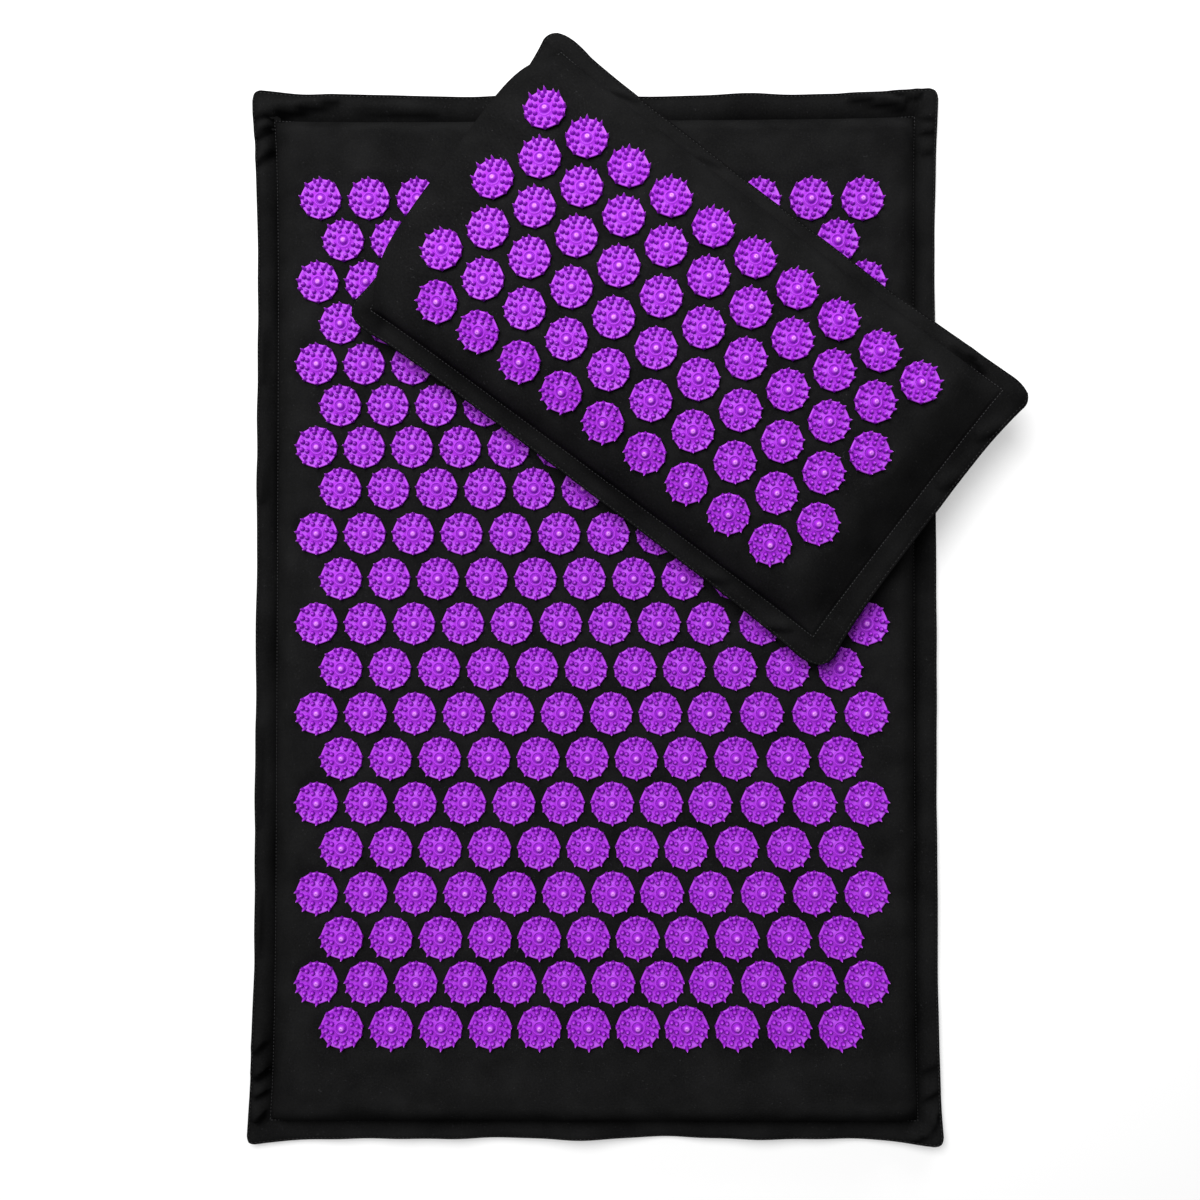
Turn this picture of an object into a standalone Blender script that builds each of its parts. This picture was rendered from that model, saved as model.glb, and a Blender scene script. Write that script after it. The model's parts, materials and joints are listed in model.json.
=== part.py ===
# Acupressure mat with its pillow: sewn covers over foam cores, rows of spiked discs and zips.
# Metres, +Z up. The origin is the middle of the mat's underside.
import math

import bmesh
import bpy
from mathutils import Matrix, Vector

# Driving dimensions
fabric = 0.0008
gap = 0.0003
flange = 0.0135

disc_diameter = 0.02453
spike_lean = 0.0007
disc_rim_height = 0.0012
disc_web_height = 0.0016
dome_foot_height = 0.0022
rim_spike_height = 0.0074
disc_height = 0.0046
column_gap = 0.0045
outer_column_gap = 0.00643
pillow_column_gap = 0.00423

mat_left_margin = 0.04545
mat_right_margin = 0.04944
mat_top_margin = 0.07447
mat_bottom_margin = 0.07966
mat_row_bow = 0.0012
mat_pad_rise = 0.0201
mat_roll = 0.016
mat_corner_radius = 0.006
mat_side_draw = 0.0025
mat_end_draw = 0.004

pillow_left_margin = 0.0291
pillow_right_margin = 0.0420
pillow_lower_margin = 0.0246
pillow_upper_margin = 0.0352
pillow_seam_height = 0.014
pillow_side_rise = 0.020
pillow_crown = 0.015
pillow_roll = 0.034
pillow_base_roll = 0.022
pillow_corner_radius = 0.010
pillow_side_draw = 0.005
pillow_end_draw = 0.004
pillow_tuck_drop = 0.0095
pillow_tuck_in = 0.0085
pillow_x = 0.0495
pillow_y = 0.1592
pillow_turn = math.radians(-36.9)
pillow_rows_turn = math.radians(0.76)

mat_zip_length = 0.300
pillow_zip_length = 0.200
mat_zip_inset = 0.040
zip_edge_clearance = 0.002
teeth_width = 0.0021
teeth_height = 0.0017
tape_width = 0.011
tape_thickness = 0.0005
tape_end = 0.010
slider_length = 0.009
slider_wall = 0.0008
slider_plate = 0.0009
bridge_length = 0.0052
bridge_width = 0.0014
bridge_leg = 0.0008
bridge_bar = 0.0005
pull_thickness = 0.0008
pull_length = 0.021
pull_width = 0.0058
pull_slot_length = 0.0042
pull_hole_radius = 0.0012
stop_length = 0.0025
window_margin = 0.0016
window_end = 0.006
channel_lap = 0.009
channel_ramp = 0.010

# Counts and shares chosen by hand
mat_upper_steps = 7
mat_lower_steps = 12
straight_row_steps = 7
mat_columns = 12
mat_outer_columns = 3
pillow_columns = 10
pillow_rows = 6
upper_row_share = 0.8467
lower_row_share = 0.9154
row_bow_limit_share = 2.4
pillow_row_share = 0.844
small_disc_share = 0.955
large_disc_share = 1.04
pillow_disc_share = 0.98
disc_sides = 10
rim_angle_shares = (0.011, 0.125, 0.25, 0.375, 0.489, 0.511, 0.625, 0.75, 0.875, 0.989)
spike_places = (1, 3, 6, 8)
gathered_places = (2, 7)
web_corners = 4
web_first_share = 0.125
dome_corners = 3
dome_first_share = 0.25
upright_share = 0.1
disc_web_share = 0.91
dome_foot_share = 0.28
mat_roll_shares = (0.08, 0.3, 1.0)
pillow_roll_shares = (0.07, 0.26, 0.6, 1.0)
base_roll_shares = (0.12, 0.42, 1.0)
flare_power = 6
side_flare_share = 0.38
end_flare_share = 0.19
core_inset_share = 0.12
core_rim_share = 0.1
bridge_back_share = 0.25

# Sizes that follow from those above
column_pitch = disc_diameter + column_gap
outer_column_pitch = disc_diameter + outer_column_gap
pillow_column_pitch = disc_diameter + pillow_column_gap
disc_web = (web_corners, web_first_share, disc_web_share, disc_web_height)
dome_foot = (dome_corners, dome_first_share, dome_foot_share, dome_foot_height)
mat_plane = fabric + gap / 2
mat_half_x = (mat_left_margin + mat_right_margin
              + (mat_columns - 1 - mat_outer_columns) * column_pitch
              + mat_outer_columns * outer_column_pitch) / 2
mat_half_y = (mat_top_margin + mat_bottom_margin
              + mat_upper_steps * column_pitch * upper_row_share
              + mat_lower_steps * column_pitch * lower_row_share) / 2
mat_top = mat_plane + mat_pad_rise + gap / 2 + fabric
spike_top = max(rim_spike_height, disc_height) * large_disc_share
pillow_floor = mat_top + gap + spike_top + gap
pillow_row_pitch = pillow_column_pitch * pillow_row_share
pillow_seam_half_x = (pillow_left_margin + pillow_right_margin
                      + (pillow_columns - 1) * pillow_column_pitch) / 2
pillow_seam_half_y = (pillow_lower_margin + pillow_upper_margin
                      + (pillow_rows - 1) * pillow_row_pitch) / 2
pillow_half_x = pillow_seam_half_x + flange
pillow_half_y = pillow_seam_half_y + flange

# Levels of the zip above the outer face of the cover it is sewn into
bridge_low = gap
pull_middle = bridge_low + bridge_bar + gap + pull_thickness / 2
plate_low = pull_middle + pull_thickness / 2 + gap
teeth_low = plate_low + slider_plate + gap
tape_high = teeth_low + teeth_height
tape_low = tape_high - tape_thickness
channel_rise = tape_low - gap - fabric
teeth_outer = gap / 2 + teeth_width
slider_half_width = teeth_outer + gap + slider_wall
window_half_width = max(slider_half_width, pull_width / 2) + window_margin
channel_half_width = window_half_width + channel_lap + channel_ramp
channel_end = window_end + channel_lap + channel_ramp
overrun = slider_length


def clear_scene():
    for item in list(bpy.data.objects):
        bpy.data.objects.remove(item, do_unlink=True)


def new_collection(name):
    collection = bpy.data.collections.new(name)
    bpy.context.scene.collection.children.link(collection)
    return collection


def finish_material(name, color, roughness, metallic=0.0):
    material = bpy.data.materials.new(name + "_finish")
    material.use_nodes = True
    shader = material.node_tree.nodes["Principled BSDF"]
    shader.inputs["Base Color"].default_value = (*color, 1.0)
    shader.inputs["Roughness"].default_value = roughness
    shader.inputs["Metallic"].default_value = metallic
    material.diffuse_color = (*color, 1.0)
    return material


def black_cotton(name):
    return finish_material(name, (0.012, 0.012, 0.013), 0.9)


def purple_plastic(name):
    return finish_material(name, (0.38, 0.03, 0.80), 0.32)


def grey_foam(name):
    return finish_material(name, (0.30, 0.30, 0.32), 0.95)


def black_tape(name):
    return finish_material(name, (0.015, 0.015, 0.017), 0.75)


def dark_metal(name):
    return finish_material(name, (0.06, 0.06, 0.065), 0.35, 1.0)


def place(item, parent, location=(0.0, 0.0, 0.0), turn=0.0):
    item.location = location
    item.rotation_euler = (0.0, 0.0, turn)
    item.parent = parent


def new_empty(name, parent=None, location=(0.0, 0.0, 0.0), turn=0.0):
    empty = bpy.data.objects.new(name, None)
    parts.objects.link(empty)
    place(empty, parent, location, turn)
    return empty


def add_object(name, data, material, parent, location=(0.0, 0.0, 0.0), collection=None):
    item = bpy.data.objects.new(name, data)
    (collection or parts).objects.link(item)
    if material:
        data.materials.append(material)
    place(item, parent, location)
    return item


def mesh_from(name, bm):
    mesh = bpy.data.meshes.new(name)
    bm.to_mesh(mesh)
    bm.free()
    return mesh


# Share of the full rise that a padded face has reached at a distance inside its seam
def roll_rise(distance, width):
    share = min(max(distance / width, 0.0), 1.0)
    return math.sqrt(1.0 - (1.0 - share) ** 2)


def smooth_step(share):
    share = min(max(share, 0.0), 1.0)
    return share * share * (3.0 - 2.0 * share)


# Grid lines between -half and half: one at each inset from both edges, and evenly spaced ones between
def grid_lines(half, insets, middle_count):
    inner = half - insets[-1]
    middle = [inner * (2.0 * step / (middle_count + 1) - 1.0) for step in range(1, middle_count + 1)]
    return [inset - half for inset in insets] + middle + [half - inset for inset in reversed(insets)]


# A grid with its lines at the given places, each point then set by the point rule
def sheet_mesh(lines_x, lines_y, point_rule, hole=None):
    bm = bmesh.new()
    steps_x = len(lines_x) - 1
    steps_y = len(lines_y) - 1
    bmesh.ops.create_grid(bm, x_segments=steps_x, y_segments=steps_y, size=1.0)
    for vert in bm.verts:
        vert.co.x = lines_x[round((vert.co.x + 1.0) / 2.0 * steps_x)]
        vert.co.y = lines_y[round((vert.co.y + 1.0) / 2.0 * steps_y)]
    if hole:
        inside = [face for face in bm.faces if hole(face.calc_center_median())]
        bmesh.ops.delete(bm, geom=inside, context="FACES")
    for vert in bm.verts:
        vert.co = point_rule(vert.co.x, vert.co.y)
    bm.normal_update()
    return bm


# Moves a sheet off the shared seam surface by half the gap, then gives it the cloth's thickness
def cloth_panel(name, bm, parent, faces_up):
    if not faces_up:
        bmesh.ops.reverse_faces(bm, faces=bm.faces)
        bm.normal_update()
    normals = [vert.normal.copy() for vert in bm.verts]
    for vert, normal in zip(bm.verts, normals):
        vert.co += normal * gap / 2
    panel = add_object(name, mesh_from(name, bm), black_cotton(name), parent)
    solidify = panel.modifiers.new("cloth", "SOLIDIFY")
    solidify.thickness = fabric
    solidify.offset = 1.0
    solidify.use_even_offset = True
    panel.data.shade_smooth()


# The outline: sides bow in between the corners, fading out over the roll, and each corner is rounded
def outline_point(x, y, half_x, half_y, draw_x, draw_y, roll, corner):
    on_edge_x = abs(abs(x) - half_x) < gap / 2
    on_edge_y = abs(abs(y) - half_y) < gap / 2
    along_x = 1.0 - abs(x / half_x) ** flare_power
    along_y = 1.0 - abs(y / half_y) ** flare_power
    hold_x = smooth_step((abs(x) - half_x + flange + roll) / roll)
    hold_y = smooth_step((abs(y) - half_y + flange + roll) / roll)
    if on_edge_x and on_edge_y:
        cut = corner * (1.0 - math.sqrt(0.5))
        x -= math.copysign(cut, x)
        y -= math.copysign(cut, y)
    return (x - math.copysign(draw_x * along_y * hold_x, x),
            y - math.copysign(draw_y * along_x * hold_y, y))


# Rise of the cover's underside where the zip is sewn in, so that the zip clears what it lies on
def channel_height(x, y, centre_y, length):
    across = abs(y - centre_y) - window_half_width - channel_lap
    along = abs(x) - length / 2 - window_end - channel_lap
    share = (1.0 - smooth_step(across / channel_ramp)) * (1.0 - smooth_step(along / channel_ramp))
    return channel_rise * share


def channel_lines(centre_y, length):
    half = window_half_width
    reach = length / 2 + window_end
    lines_y = [centre_y - half - channel_lap - channel_ramp, centre_y - half - channel_lap,
               centre_y - half, centre_y + half,
               centre_y + half + channel_lap, centre_y + half + channel_lap + channel_ramp]
    lines_x = [-reach - channel_lap - channel_ramp, -reach - channel_lap, -reach,
               reach, reach + channel_lap, reach + channel_lap + channel_ramp]
    return lines_x, lines_y


def window_hole(centre_y, length):
    def inside(centre):
        in_x = abs(centre.x) < length / 2 + window_end
        in_y = abs(centre.y - centre_y) < window_half_width
        return in_x and in_y
    return inside


# The mat's cover and core
mat_seam_x = mat_half_x - flange
mat_seam_y = mat_half_y - flange
mat_zip_y = mat_seam_y - mat_zip_inset
mat_flare_x = mat_half_x * side_flare_share
mat_flare_y = mat_half_y * end_flare_share


def mat_outline(x, y):
    return outline_point(x, y, mat_half_x, mat_half_y, mat_side_draw, mat_end_draw,
                         mat_roll, mat_corner_radius)


def mat_roll_at(x, y, inset):
    across = roll_rise(mat_seam_x - inset - abs(x), mat_roll)
    along = roll_rise(mat_seam_y - inset - abs(y), mat_roll)
    return across * along


def mat_top_point(x, y):
    out_x, out_y = mat_outline(x, y)
    return Vector((out_x, out_y, mat_plane + mat_pad_rise * mat_roll_at(x, y, 0.0)))


def mat_back_point(x, y):
    out_x, out_y = mat_outline(x, y)
    return Vector((out_x, out_y, mat_plane + channel_height(x, y, mat_zip_y, mat_zip_length)))


def build_mat_cover(parent):
    insets = [0.0, mat_corner_radius, flange] + [flange + mat_roll * share for share in mat_roll_shares]
    lines_x = grid_lines(mat_half_x, insets + [mat_flare_x], 1)
    lines_y = grid_lines(mat_half_y, insets + [mat_flare_y], 1)
    top = sheet_mesh(lines_x, lines_y, mat_top_point)
    cloth_panel("mat_top_panel", top, parent, True)

    zip_x, zip_y = channel_lines(mat_zip_y, mat_zip_length)
    edge = [0.0, mat_corner_radius, flange]
    back_x = [inset - mat_half_x for inset in edge] + zip_x + [mat_half_x - inset for inset in reversed(edge)]
    middle = [inset - mat_half_y for inset in edge + [mat_flare_y]]
    back_y = middle + [0.0] + zip_y + [mat_half_y - inset for inset in reversed(edge)]
    back = sheet_mesh(back_x, back_y, mat_back_point,
                      window_hole(mat_zip_y, mat_zip_length))
    cloth_panel("mat_back_panel", back, parent, False)


# A foam core: a top sheet by one rule, its rim drawn down and set by the other
def core_solid(name, lines_x, lines_y, top_rule, bottom_rule, parent):
    bm = sheet_mesh(lines_x, lines_y, lambda x, y: Vector((x, y, 0.0)))
    bottom = bmesh.ops.duplicate(bm, geom=bm.verts[:] + bm.edges[:] + bm.faces[:])["geom"]
    bottom_verts = [item for item in bottom if isinstance(item, bmesh.types.BMVert)]
    bottom_faces = [item for item in bottom if isinstance(item, bmesh.types.BMFace)]
    lower = set(bottom_verts)
    for vert in bm.verts:
        rule = bottom_rule if vert in lower else top_rule
        vert.co = rule(vert.co.x, vert.co.y)
    bmesh.ops.reverse_faces(bm, faces=bottom_faces)
    rims = [edge for edge in bm.edges if edge.is_boundary]
    bmesh.ops.bridge_loops(bm, edges=rims)
    bmesh.ops.recalc_face_normals(bm, faces=bm.faces)
    core = add_object(name, mesh_from(name, bm), grey_foam(name), parent)
    core.data.shade_smooth()
    return core


# A recess in the core over the zip, cut by a block with room all round
def cut_zip_recess(core, centre_y, length, parent, floor):
    high = tape_high + gap
    cutter_mesh = bpy.data.meshes.new(core.name + "_recess")
    bm = bmesh.new()
    bmesh.ops.create_cube(bm, size=1.0)
    size = Vector((length + 2 * (channel_end + zip_edge_clearance),
                   2 * (channel_half_width + zip_edge_clearance), high + overrun))
    bmesh.ops.scale(bm, vec=size, verts=bm.verts)
    bm.to_mesh(cutter_mesh)
    bm.free()
    middle = (0.0, centre_y, floor + (high - overrun) / 2)
    cutter = add_object(core.name + "_recess", cutter_mesh, None, parent, middle, cutters)
    cutter.hide_render = True
    cutter.display_type = "WIRE"
    cut = core.modifiers.new("zip_recess", "BOOLEAN")
    cut.operation = "DIFFERENCE"
    cut.solver = "EXACT"
    cut.object = cutter


def build_mat_core(parent):
    inset = mat_roll * core_inset_share
    low = fabric + gap
    rim = mat_pad_rise * core_rim_share
    rise = mat_pad_rise - rim - gap / 2

    def top_rule(x, y):
        out_x, out_y = mat_outline(x, y)
        return Vector((out_x, out_y, low + rim + rise * mat_roll_at(x, y, inset)))

    def bottom_rule(x, y):
        out_x, out_y = mat_outline(x, y)
        return Vector((out_x, out_y, low))

    insets = [0.0] + [mat_roll * share for share in mat_roll_shares]
    to_seam = flange + inset
    lines_x = grid_lines(mat_seam_x - inset, insets + [mat_flare_x - to_seam], 1)
    lines_y = grid_lines(mat_seam_y - inset, insets + [mat_flare_y - to_seam], 1)
    core = core_solid("mat_foam_core", lines_x, lines_y, top_rule, bottom_rule, parent)
    cut_zip_recess(core, mat_zip_y, mat_zip_length, parent, 0.0)


# The pillow's cover and core, in the pillow's own frame with its flat underside at zero
pillow_plane = pillow_seam_height
base_drop = pillow_seam_height - mat_plane
pillow_zip_y = channel_half_width + zip_edge_clearance + pillow_base_roll - pillow_seam_half_y


# The seam surface; at the left end the flange is tucked down and in, under the body's bulge
def pillow_flange(x, y):
    out_x, out_y = outline_point(x, y, pillow_half_x, pillow_half_y,
                                 pillow_side_draw, pillow_end_draw,
                                 pillow_base_roll, pillow_corner_radius)
    beyond = max(-x - pillow_seam_half_x, 0.0) / flange
    return Vector((out_x + pillow_tuck_in * beyond, out_y, pillow_plane - pillow_tuck_drop * beyond))


def pillow_rise(x, y, inset=0.0):
    roll = (roll_rise(pillow_seam_half_x - inset - abs(x), pillow_roll)
            * roll_rise(pillow_seam_half_y - inset - abs(y), pillow_roll))
    crown = ((1.0 - min(abs(x) / pillow_seam_half_x, 1.0) ** 2)
             * (1.0 - min(abs(y) / pillow_seam_half_y, 1.0) ** 2))
    return pillow_side_rise * roll + pillow_crown * crown


def pillow_drop(x, y, inset=0.0):
    return (base_drop * roll_rise(pillow_seam_half_x - inset - abs(x), pillow_base_roll)
            * roll_rise(pillow_seam_half_y - inset - abs(y), pillow_base_roll))


def pillow_top_point(x, y):
    return pillow_flange(x, y) + Vector((0.0, 0.0, pillow_rise(x, y)))


def pillow_back_point(x, y):
    lift = channel_height(x, y, pillow_zip_y, pillow_zip_length) - pillow_drop(x, y)
    return pillow_flange(x, y) + Vector((0.0, 0.0, lift))


def build_pillow_cover(parent):
    rolls = [flange + pillow_roll * share for share in pillow_roll_shares]
    insets = [0.0, pillow_corner_radius, flange] + rolls
    lines_x = grid_lines(pillow_half_x, insets, 3)
    lines_y = grid_lines(pillow_half_y, insets, 1)
    top = sheet_mesh(lines_x, lines_y, pillow_top_point)
    cloth_panel("pillow_top_panel", top, parent, True)

    base_rolls = [flange + pillow_base_roll * share for share in base_roll_shares]
    edge = [0.0, pillow_corner_radius, flange] + base_rolls
    zip_x, zip_y = channel_lines(pillow_zip_y, pillow_zip_length)
    far_edge = [pillow_half_y - inset for inset in reversed(edge)]
    back_x = ([inset - pillow_half_x for inset in edge] + zip_x
              + [pillow_half_x - inset for inset in reversed(edge)])
    back_y = [inset - pillow_half_y for inset in edge] + zip_y + far_edge
    back = sheet_mesh(back_x, back_y, pillow_back_point,
                      window_hole(pillow_zip_y, pillow_zip_length))
    cloth_panel("pillow_back_panel", back, parent, False)


def build_pillow_core(parent):
    inset = pillow_roll * core_inset_share
    rim = gap + fabric

    def top_rule(x, y):
        flat = pillow_flange(x, y)
        roll = pillow_rise(x, y, inset) - rim - gap
        return flat + Vector((0.0, 0.0, rim + max(roll, 0.0) - gap / 2))

    def bottom_rule(x, y):
        flat = pillow_flange(x, y)
        drop = max(pillow_drop(x, y, inset) - rim - gap, 0.0)
        return flat - Vector((0.0, 0.0, rim + drop - gap / 2))

    insets = [0.0] + [pillow_roll * share for share in pillow_roll_shares]
    lines_x = grid_lines(pillow_seam_half_x - inset, insets, 3)
    lines_y = grid_lines(pillow_seam_half_y - inset, insets, 1)
    core = core_solid("pillow_foam_core", lines_x, lines_y, top_rule, bottom_rule, parent)
    cut_zip_recess(core, pillow_zip_y, pillow_zip_length, parent, 0.0)


# The corner of a smaller ring on the disc's top that the rim corner at a given share of the turn is gathered to
def ring_corner(share, corners, first_share, reach_share, height):
    number = round((share - first_share) * corners)
    angle = 2.0 * math.pi * (first_share + number / corners)
    reach = disc_diameter / 2 * reach_share
    return Vector((math.cos(angle) * reach, math.sin(angle) * reach, height))


# One disc: a drum with its rim drawn up into spikes, a flat web inside them and a spike in the middle
def disc_template():
    bm = bmesh.new()
    bmesh.ops.create_cone(bm, cap_ends=True, segments=disc_sides, radius1=1.0, radius2=1.0, depth=1.0)
    top_face = max(bm.faces, key=lambda face: face.calc_center_median().z)
    rings = {}
    for ring in (disc_web, dome_foot):
        bmesh.ops.inset_individual(bm, faces=[top_face], thickness=1.0 / disc_sides)
        rings.update({vert: ring for vert in top_face.verts})
    middle = bmesh.ops.poke(bm, faces=[top_face])["verts"][0]
    tips = set()
    for vert in bm.verts:
        turn = math.atan2(vert.co.y, vert.co.x) / (2.0 * math.pi)
        place_number = math.floor(turn % 1.0 * disc_sides)
        share = rim_angle_shares[place_number]
        low = vert.co.z < 0.0
        if vert == middle:
            vert.co = Vector((0.0, 0.0, disc_height))
        elif vert in rings:
            vert.co = ring_corner(share, *rings[vert])
        elif low:
            share = rim_angle_shares[place_number - (place_number in gathered_places)]
            vert.co = ring_corner(share, 1, share, 1.0, 0.0)
        elif place_number in spike_places:
            vert.co = ring_corner(share, 1, share, 1.0 + spike_lean / (disc_diameter / 2), rim_spike_height)
            tips.add(vert)
        else:
            vert.co = ring_corner(share, 1, share, 1.0, disc_rim_height)
    bmesh.ops.remove_doubles(bm, verts=bm.verts, dist=gap / 10)
    spiked = [face for face in bm.faces if tips.intersection(face.verts)]
    bmesh.ops.triangulate(bm, faces=spiked, quad_method="SHORT_EDGE")
    bmesh.ops.recalc_face_normals(bm, faces=bm.faces)
    bm.faces.index_update()
    mesh = bpy.data.meshes.new("disc_template")
    bm.to_mesh(mesh)
    bm.free()
    return mesh


# The narrow side faces at the disc's two ends, where the next disc's link is joined on
def link_faces(mesh):
    sides = [face for face in mesh.polygons if abs(face.normal.z) < upright_share]
    east = max(sides, key=lambda face: face.center.x)
    west = min(sides, key=lambda face: face.center.x)
    return east.index, west.index


# A row of discs, each joined to the next by a narrow link that lies on the cloth
def disc_row(name, template, matrices, parent):
    bm = bmesh.new()
    east, west = link_faces(template)
    count = len(template.polygons)
    for matrix in matrices:
        start = len(bm.verts)
        bm.from_mesh(template)
        bm.verts.ensure_lookup_table()
        bmesh.ops.transform(bm, matrix=matrix, verts=bm.verts[start:])
    bm.faces.ensure_lookup_table()
    links = [(bm.faces[number * count + east], bm.faces[(number + 1) * count + west])
             for number in range(len(matrices) - 1)]
    loops = [list(here.edges) + list(there.edges) for here, there in links]
    bmesh.ops.delete(bm, geom=[face for pair in links for face in pair], context="FACES_ONLY")
    for loop in loops:
        bmesh.ops.bridge_loops(bm, edges=loop)
    bmesh.ops.recalc_face_normals(bm, faces=bm.faces)
    return add_object(name, mesh_from(name, bm), purple_plastic(name), parent)


def mat_column_places():
    places = [mat_left_margin - mat_half_x]
    for step in range(mat_columns - 1):
        wide = step >= mat_columns - 1 - mat_outer_columns
        places.append(places[-1] + (outer_column_pitch if wide else column_pitch))
    return places


def mat_row_places():
    places = [mat_half_y - mat_top_margin]
    for step in range(mat_upper_steps + mat_lower_steps):
        share = upper_row_share if step < mat_upper_steps else lower_row_share
        places.append(places[-1] - column_pitch * share)
    return places


# Discs grow a little towards the mat's lower right corner
def mat_disc_size(x, y):
    along = (x / mat_half_x - y / mat_half_y + 2.0) / 4.0
    return small_disc_share + (large_disc_share - small_disc_share) * along


# Middle discs sit a little to the right in the lower rows, and to the left in the upper ones
def row_bow(x, number):
    above = (mat_upper_steps + mat_lower_steps - number) / straight_row_steps
    side = max(1.0 - above ** 2, -row_bow_limit_share)
    return mat_row_bow * side * (1.0 - (x / (mat_half_x - mat_left_margin)) ** 2)


def build_mat_rows(template, parent):
    columns = mat_column_places()
    between = [(left + right) / 2 for left, right in zip(columns, columns[1:])]
    for number, y in enumerate(mat_row_places()):
        places = between if number % 2 else columns
        matrices = []
        for x in places:
            spot = Vector((x + row_bow(x, number), y, mat_top + gap))
            matrices.append(Matrix.Translation(spot) @ Matrix.Scale(mat_disc_size(x, y), 4))
        disc_row(f"mat_disc_row_{number + 1:02d}", template, matrices, parent)


# Frame of a disc on the pillow: seated on the crown, square to it, in rows turned a little in the cover
def pillow_disc_frame(along_row, down_rows):
    x = along_row * math.cos(pillow_rows_turn) - down_rows * math.sin(pillow_rows_turn)
    y = along_row * math.sin(pillow_rows_turn) + down_rows * math.cos(pillow_rows_turn)
    reach = disc_diameter / 2

    def surface(u, v):
        return Vector((u, v, pillow_plane + pillow_rise(u, v)))

    along = surface(x + reach, y) - surface(x - reach, y)
    across = surface(x, y + reach) - surface(x, y - reach)
    normal = along.cross(across).normalized()
    level_x = (along - normal * along.dot(normal)).normalized()
    level_y = normal.cross(level_x)
    seat = surface(x, y) + normal * (gap / 2 + fabric + gap)
    frame = Matrix((level_x, level_y, normal)).transposed().to_4x4()
    return Matrix.Translation(seat) @ frame @ Matrix.Scale(pillow_disc_share, 4)


def build_pillow_rows(template, parent):
    first_x = pillow_left_margin - pillow_seam_half_x
    first_y = pillow_seam_half_y - pillow_upper_margin
    for number in range(pillow_rows):
        shift = pillow_column_pitch / 2 if number % 2 else 0.0
        count = pillow_columns - number % 2
        y = first_y - number * pillow_row_pitch
        places = [first_x + shift + step * pillow_column_pitch for step in range(count)]
        matrices = [pillow_disc_frame(x, y) for x in places]
        disc_row(f"pillow_disc_row_{number + 1}", template, matrices, parent)


# A plain block between two corners
def block(name, low, high, material, parent, location=(0.0, 0.0, 0.0), collection=None):
    bm = bmesh.new()
    bmesh.ops.create_cube(bm, size=1.0)
    low = Vector(low)
    high = Vector(high)
    bmesh.ops.scale(bm, vec=high - low, verts=bm.verts)
    bmesh.ops.translate(bm, vec=(low + high) / 2, verts=bm.verts)
    return add_object(name, mesh_from(name, bm), material, parent, location, collection)


def hidden_block(name, low, high, parent, location):
    guide = block(name, low, high, None, parent, location, cutters)
    guide.hide_render = True
    guide.display_type = "WIRE"
    return guide


def join(item, other, operation):
    step = item.modifiers.new(other.name, "BOOLEAN")
    step.operation = operation
    step.solver = "EXACT"
    step.object = other


# The bridge stands clear of the slider's plate, so that the pull's bar can turn under it
bridge_front = bridge_length * (1.0 - bridge_back_share)
bridge_back = bridge_length * bridge_back_share
pull_bar = pull_thickness / 2
pull_axis_x = slider_length / 2 - bridge_back - bridge_leg


def build_slider(prefix, parent, location):
    half = slider_length / 2
    wall_high = tape_low - gap
    name = prefix + "_zip_slider"
    slider = block(name, (-half, -slider_half_width, plate_low), (half, slider_half_width, wall_high),
                   dark_metal(name), parent, location)
    bevel = slider.modifiers.new("edges", "BEVEL")
    bevel.width = slider_wall / 4
    bevel.segments = 1
    bevel.limit_method = "ANGLE"
    channel = hidden_block(name + "_channel", (-half - overrun, -teeth_outer - gap, teeth_low - gap),
                           (half + overrun, teeth_outer + gap, wall_high + overrun), parent, location)
    join(slider, channel, "DIFFERENCE")
    back = pull_axis_x - bridge_front
    front = pull_axis_x + bridge_back
    bridge = hidden_block(name + "_bridge", (back, -bridge_width / 2, bridge_low),
                          (front, bridge_width / 2, plate_low + slider_plate / 2), parent, location)
    join(slider, bridge, "UNION")
    eye = hidden_block(name + "_eye", (back + bridge_leg, -bridge_width, bridge_low + bridge_bar),
                       (front - bridge_leg, bridge_width, plate_low), parent, location)
    join(slider, eye, "DIFFERENCE")


def add_spline(curve, points):
    spline = curve.splines.new("POLY")
    spline.points.add(len(points) - 1)
    for point, (x, y) in zip(spline.points, points):
        point.co = (x, y, 0.0, 1.0)
    spline.use_cyclic_u = True


def arc_points(centre_x, radius, start, end, steps):
    angles = [start + (end - start) * step / steps for step in range(steps + 1)]
    return [(centre_x + radius * math.cos(angle), radius * math.sin(angle)) for angle in angles]


# The pull tab lies back along the teeth from its bar, with a slot round the bridge and a hole at its end
def build_pull(prefix, parent, location):
    name = prefix + "_zip_pull_tab"
    curve = bpy.data.curves.new(name, "CURVE")
    curve.dimensions = "2D"
    curve.fill_mode = "BOTH"
    curve.extrude = pull_thickness / 2
    half = pull_width / 2
    end_centre = half - pull_length
    neck = bridge_width / 2 + gap + pull_thickness
    shoulder = -pull_bar - pull_slot_length - pull_thickness
    outline = [(pull_bar, neck), (shoulder, neck), (shoulder - pull_thickness, half)]
    outline += arc_points(end_centre, half, math.pi / 2, 3 * math.pi / 2, 6)
    outline += [(shoulder - pull_thickness, -half), (shoulder, -neck), (pull_bar, -neck)]
    add_spline(curve, outline)
    slot = bridge_width / 2 + gap
    add_spline(curve, [(-pull_bar, slot), (-pull_bar - pull_slot_length, slot),
                       (-pull_bar - pull_slot_length, -slot), (-pull_bar, -slot)])
    add_spline(curve, arc_points(end_centre, pull_hole_radius, 0.0, 7 * math.pi / 4, 7))
    return add_object(name, curve, dark_metal(name), parent, location)


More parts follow.
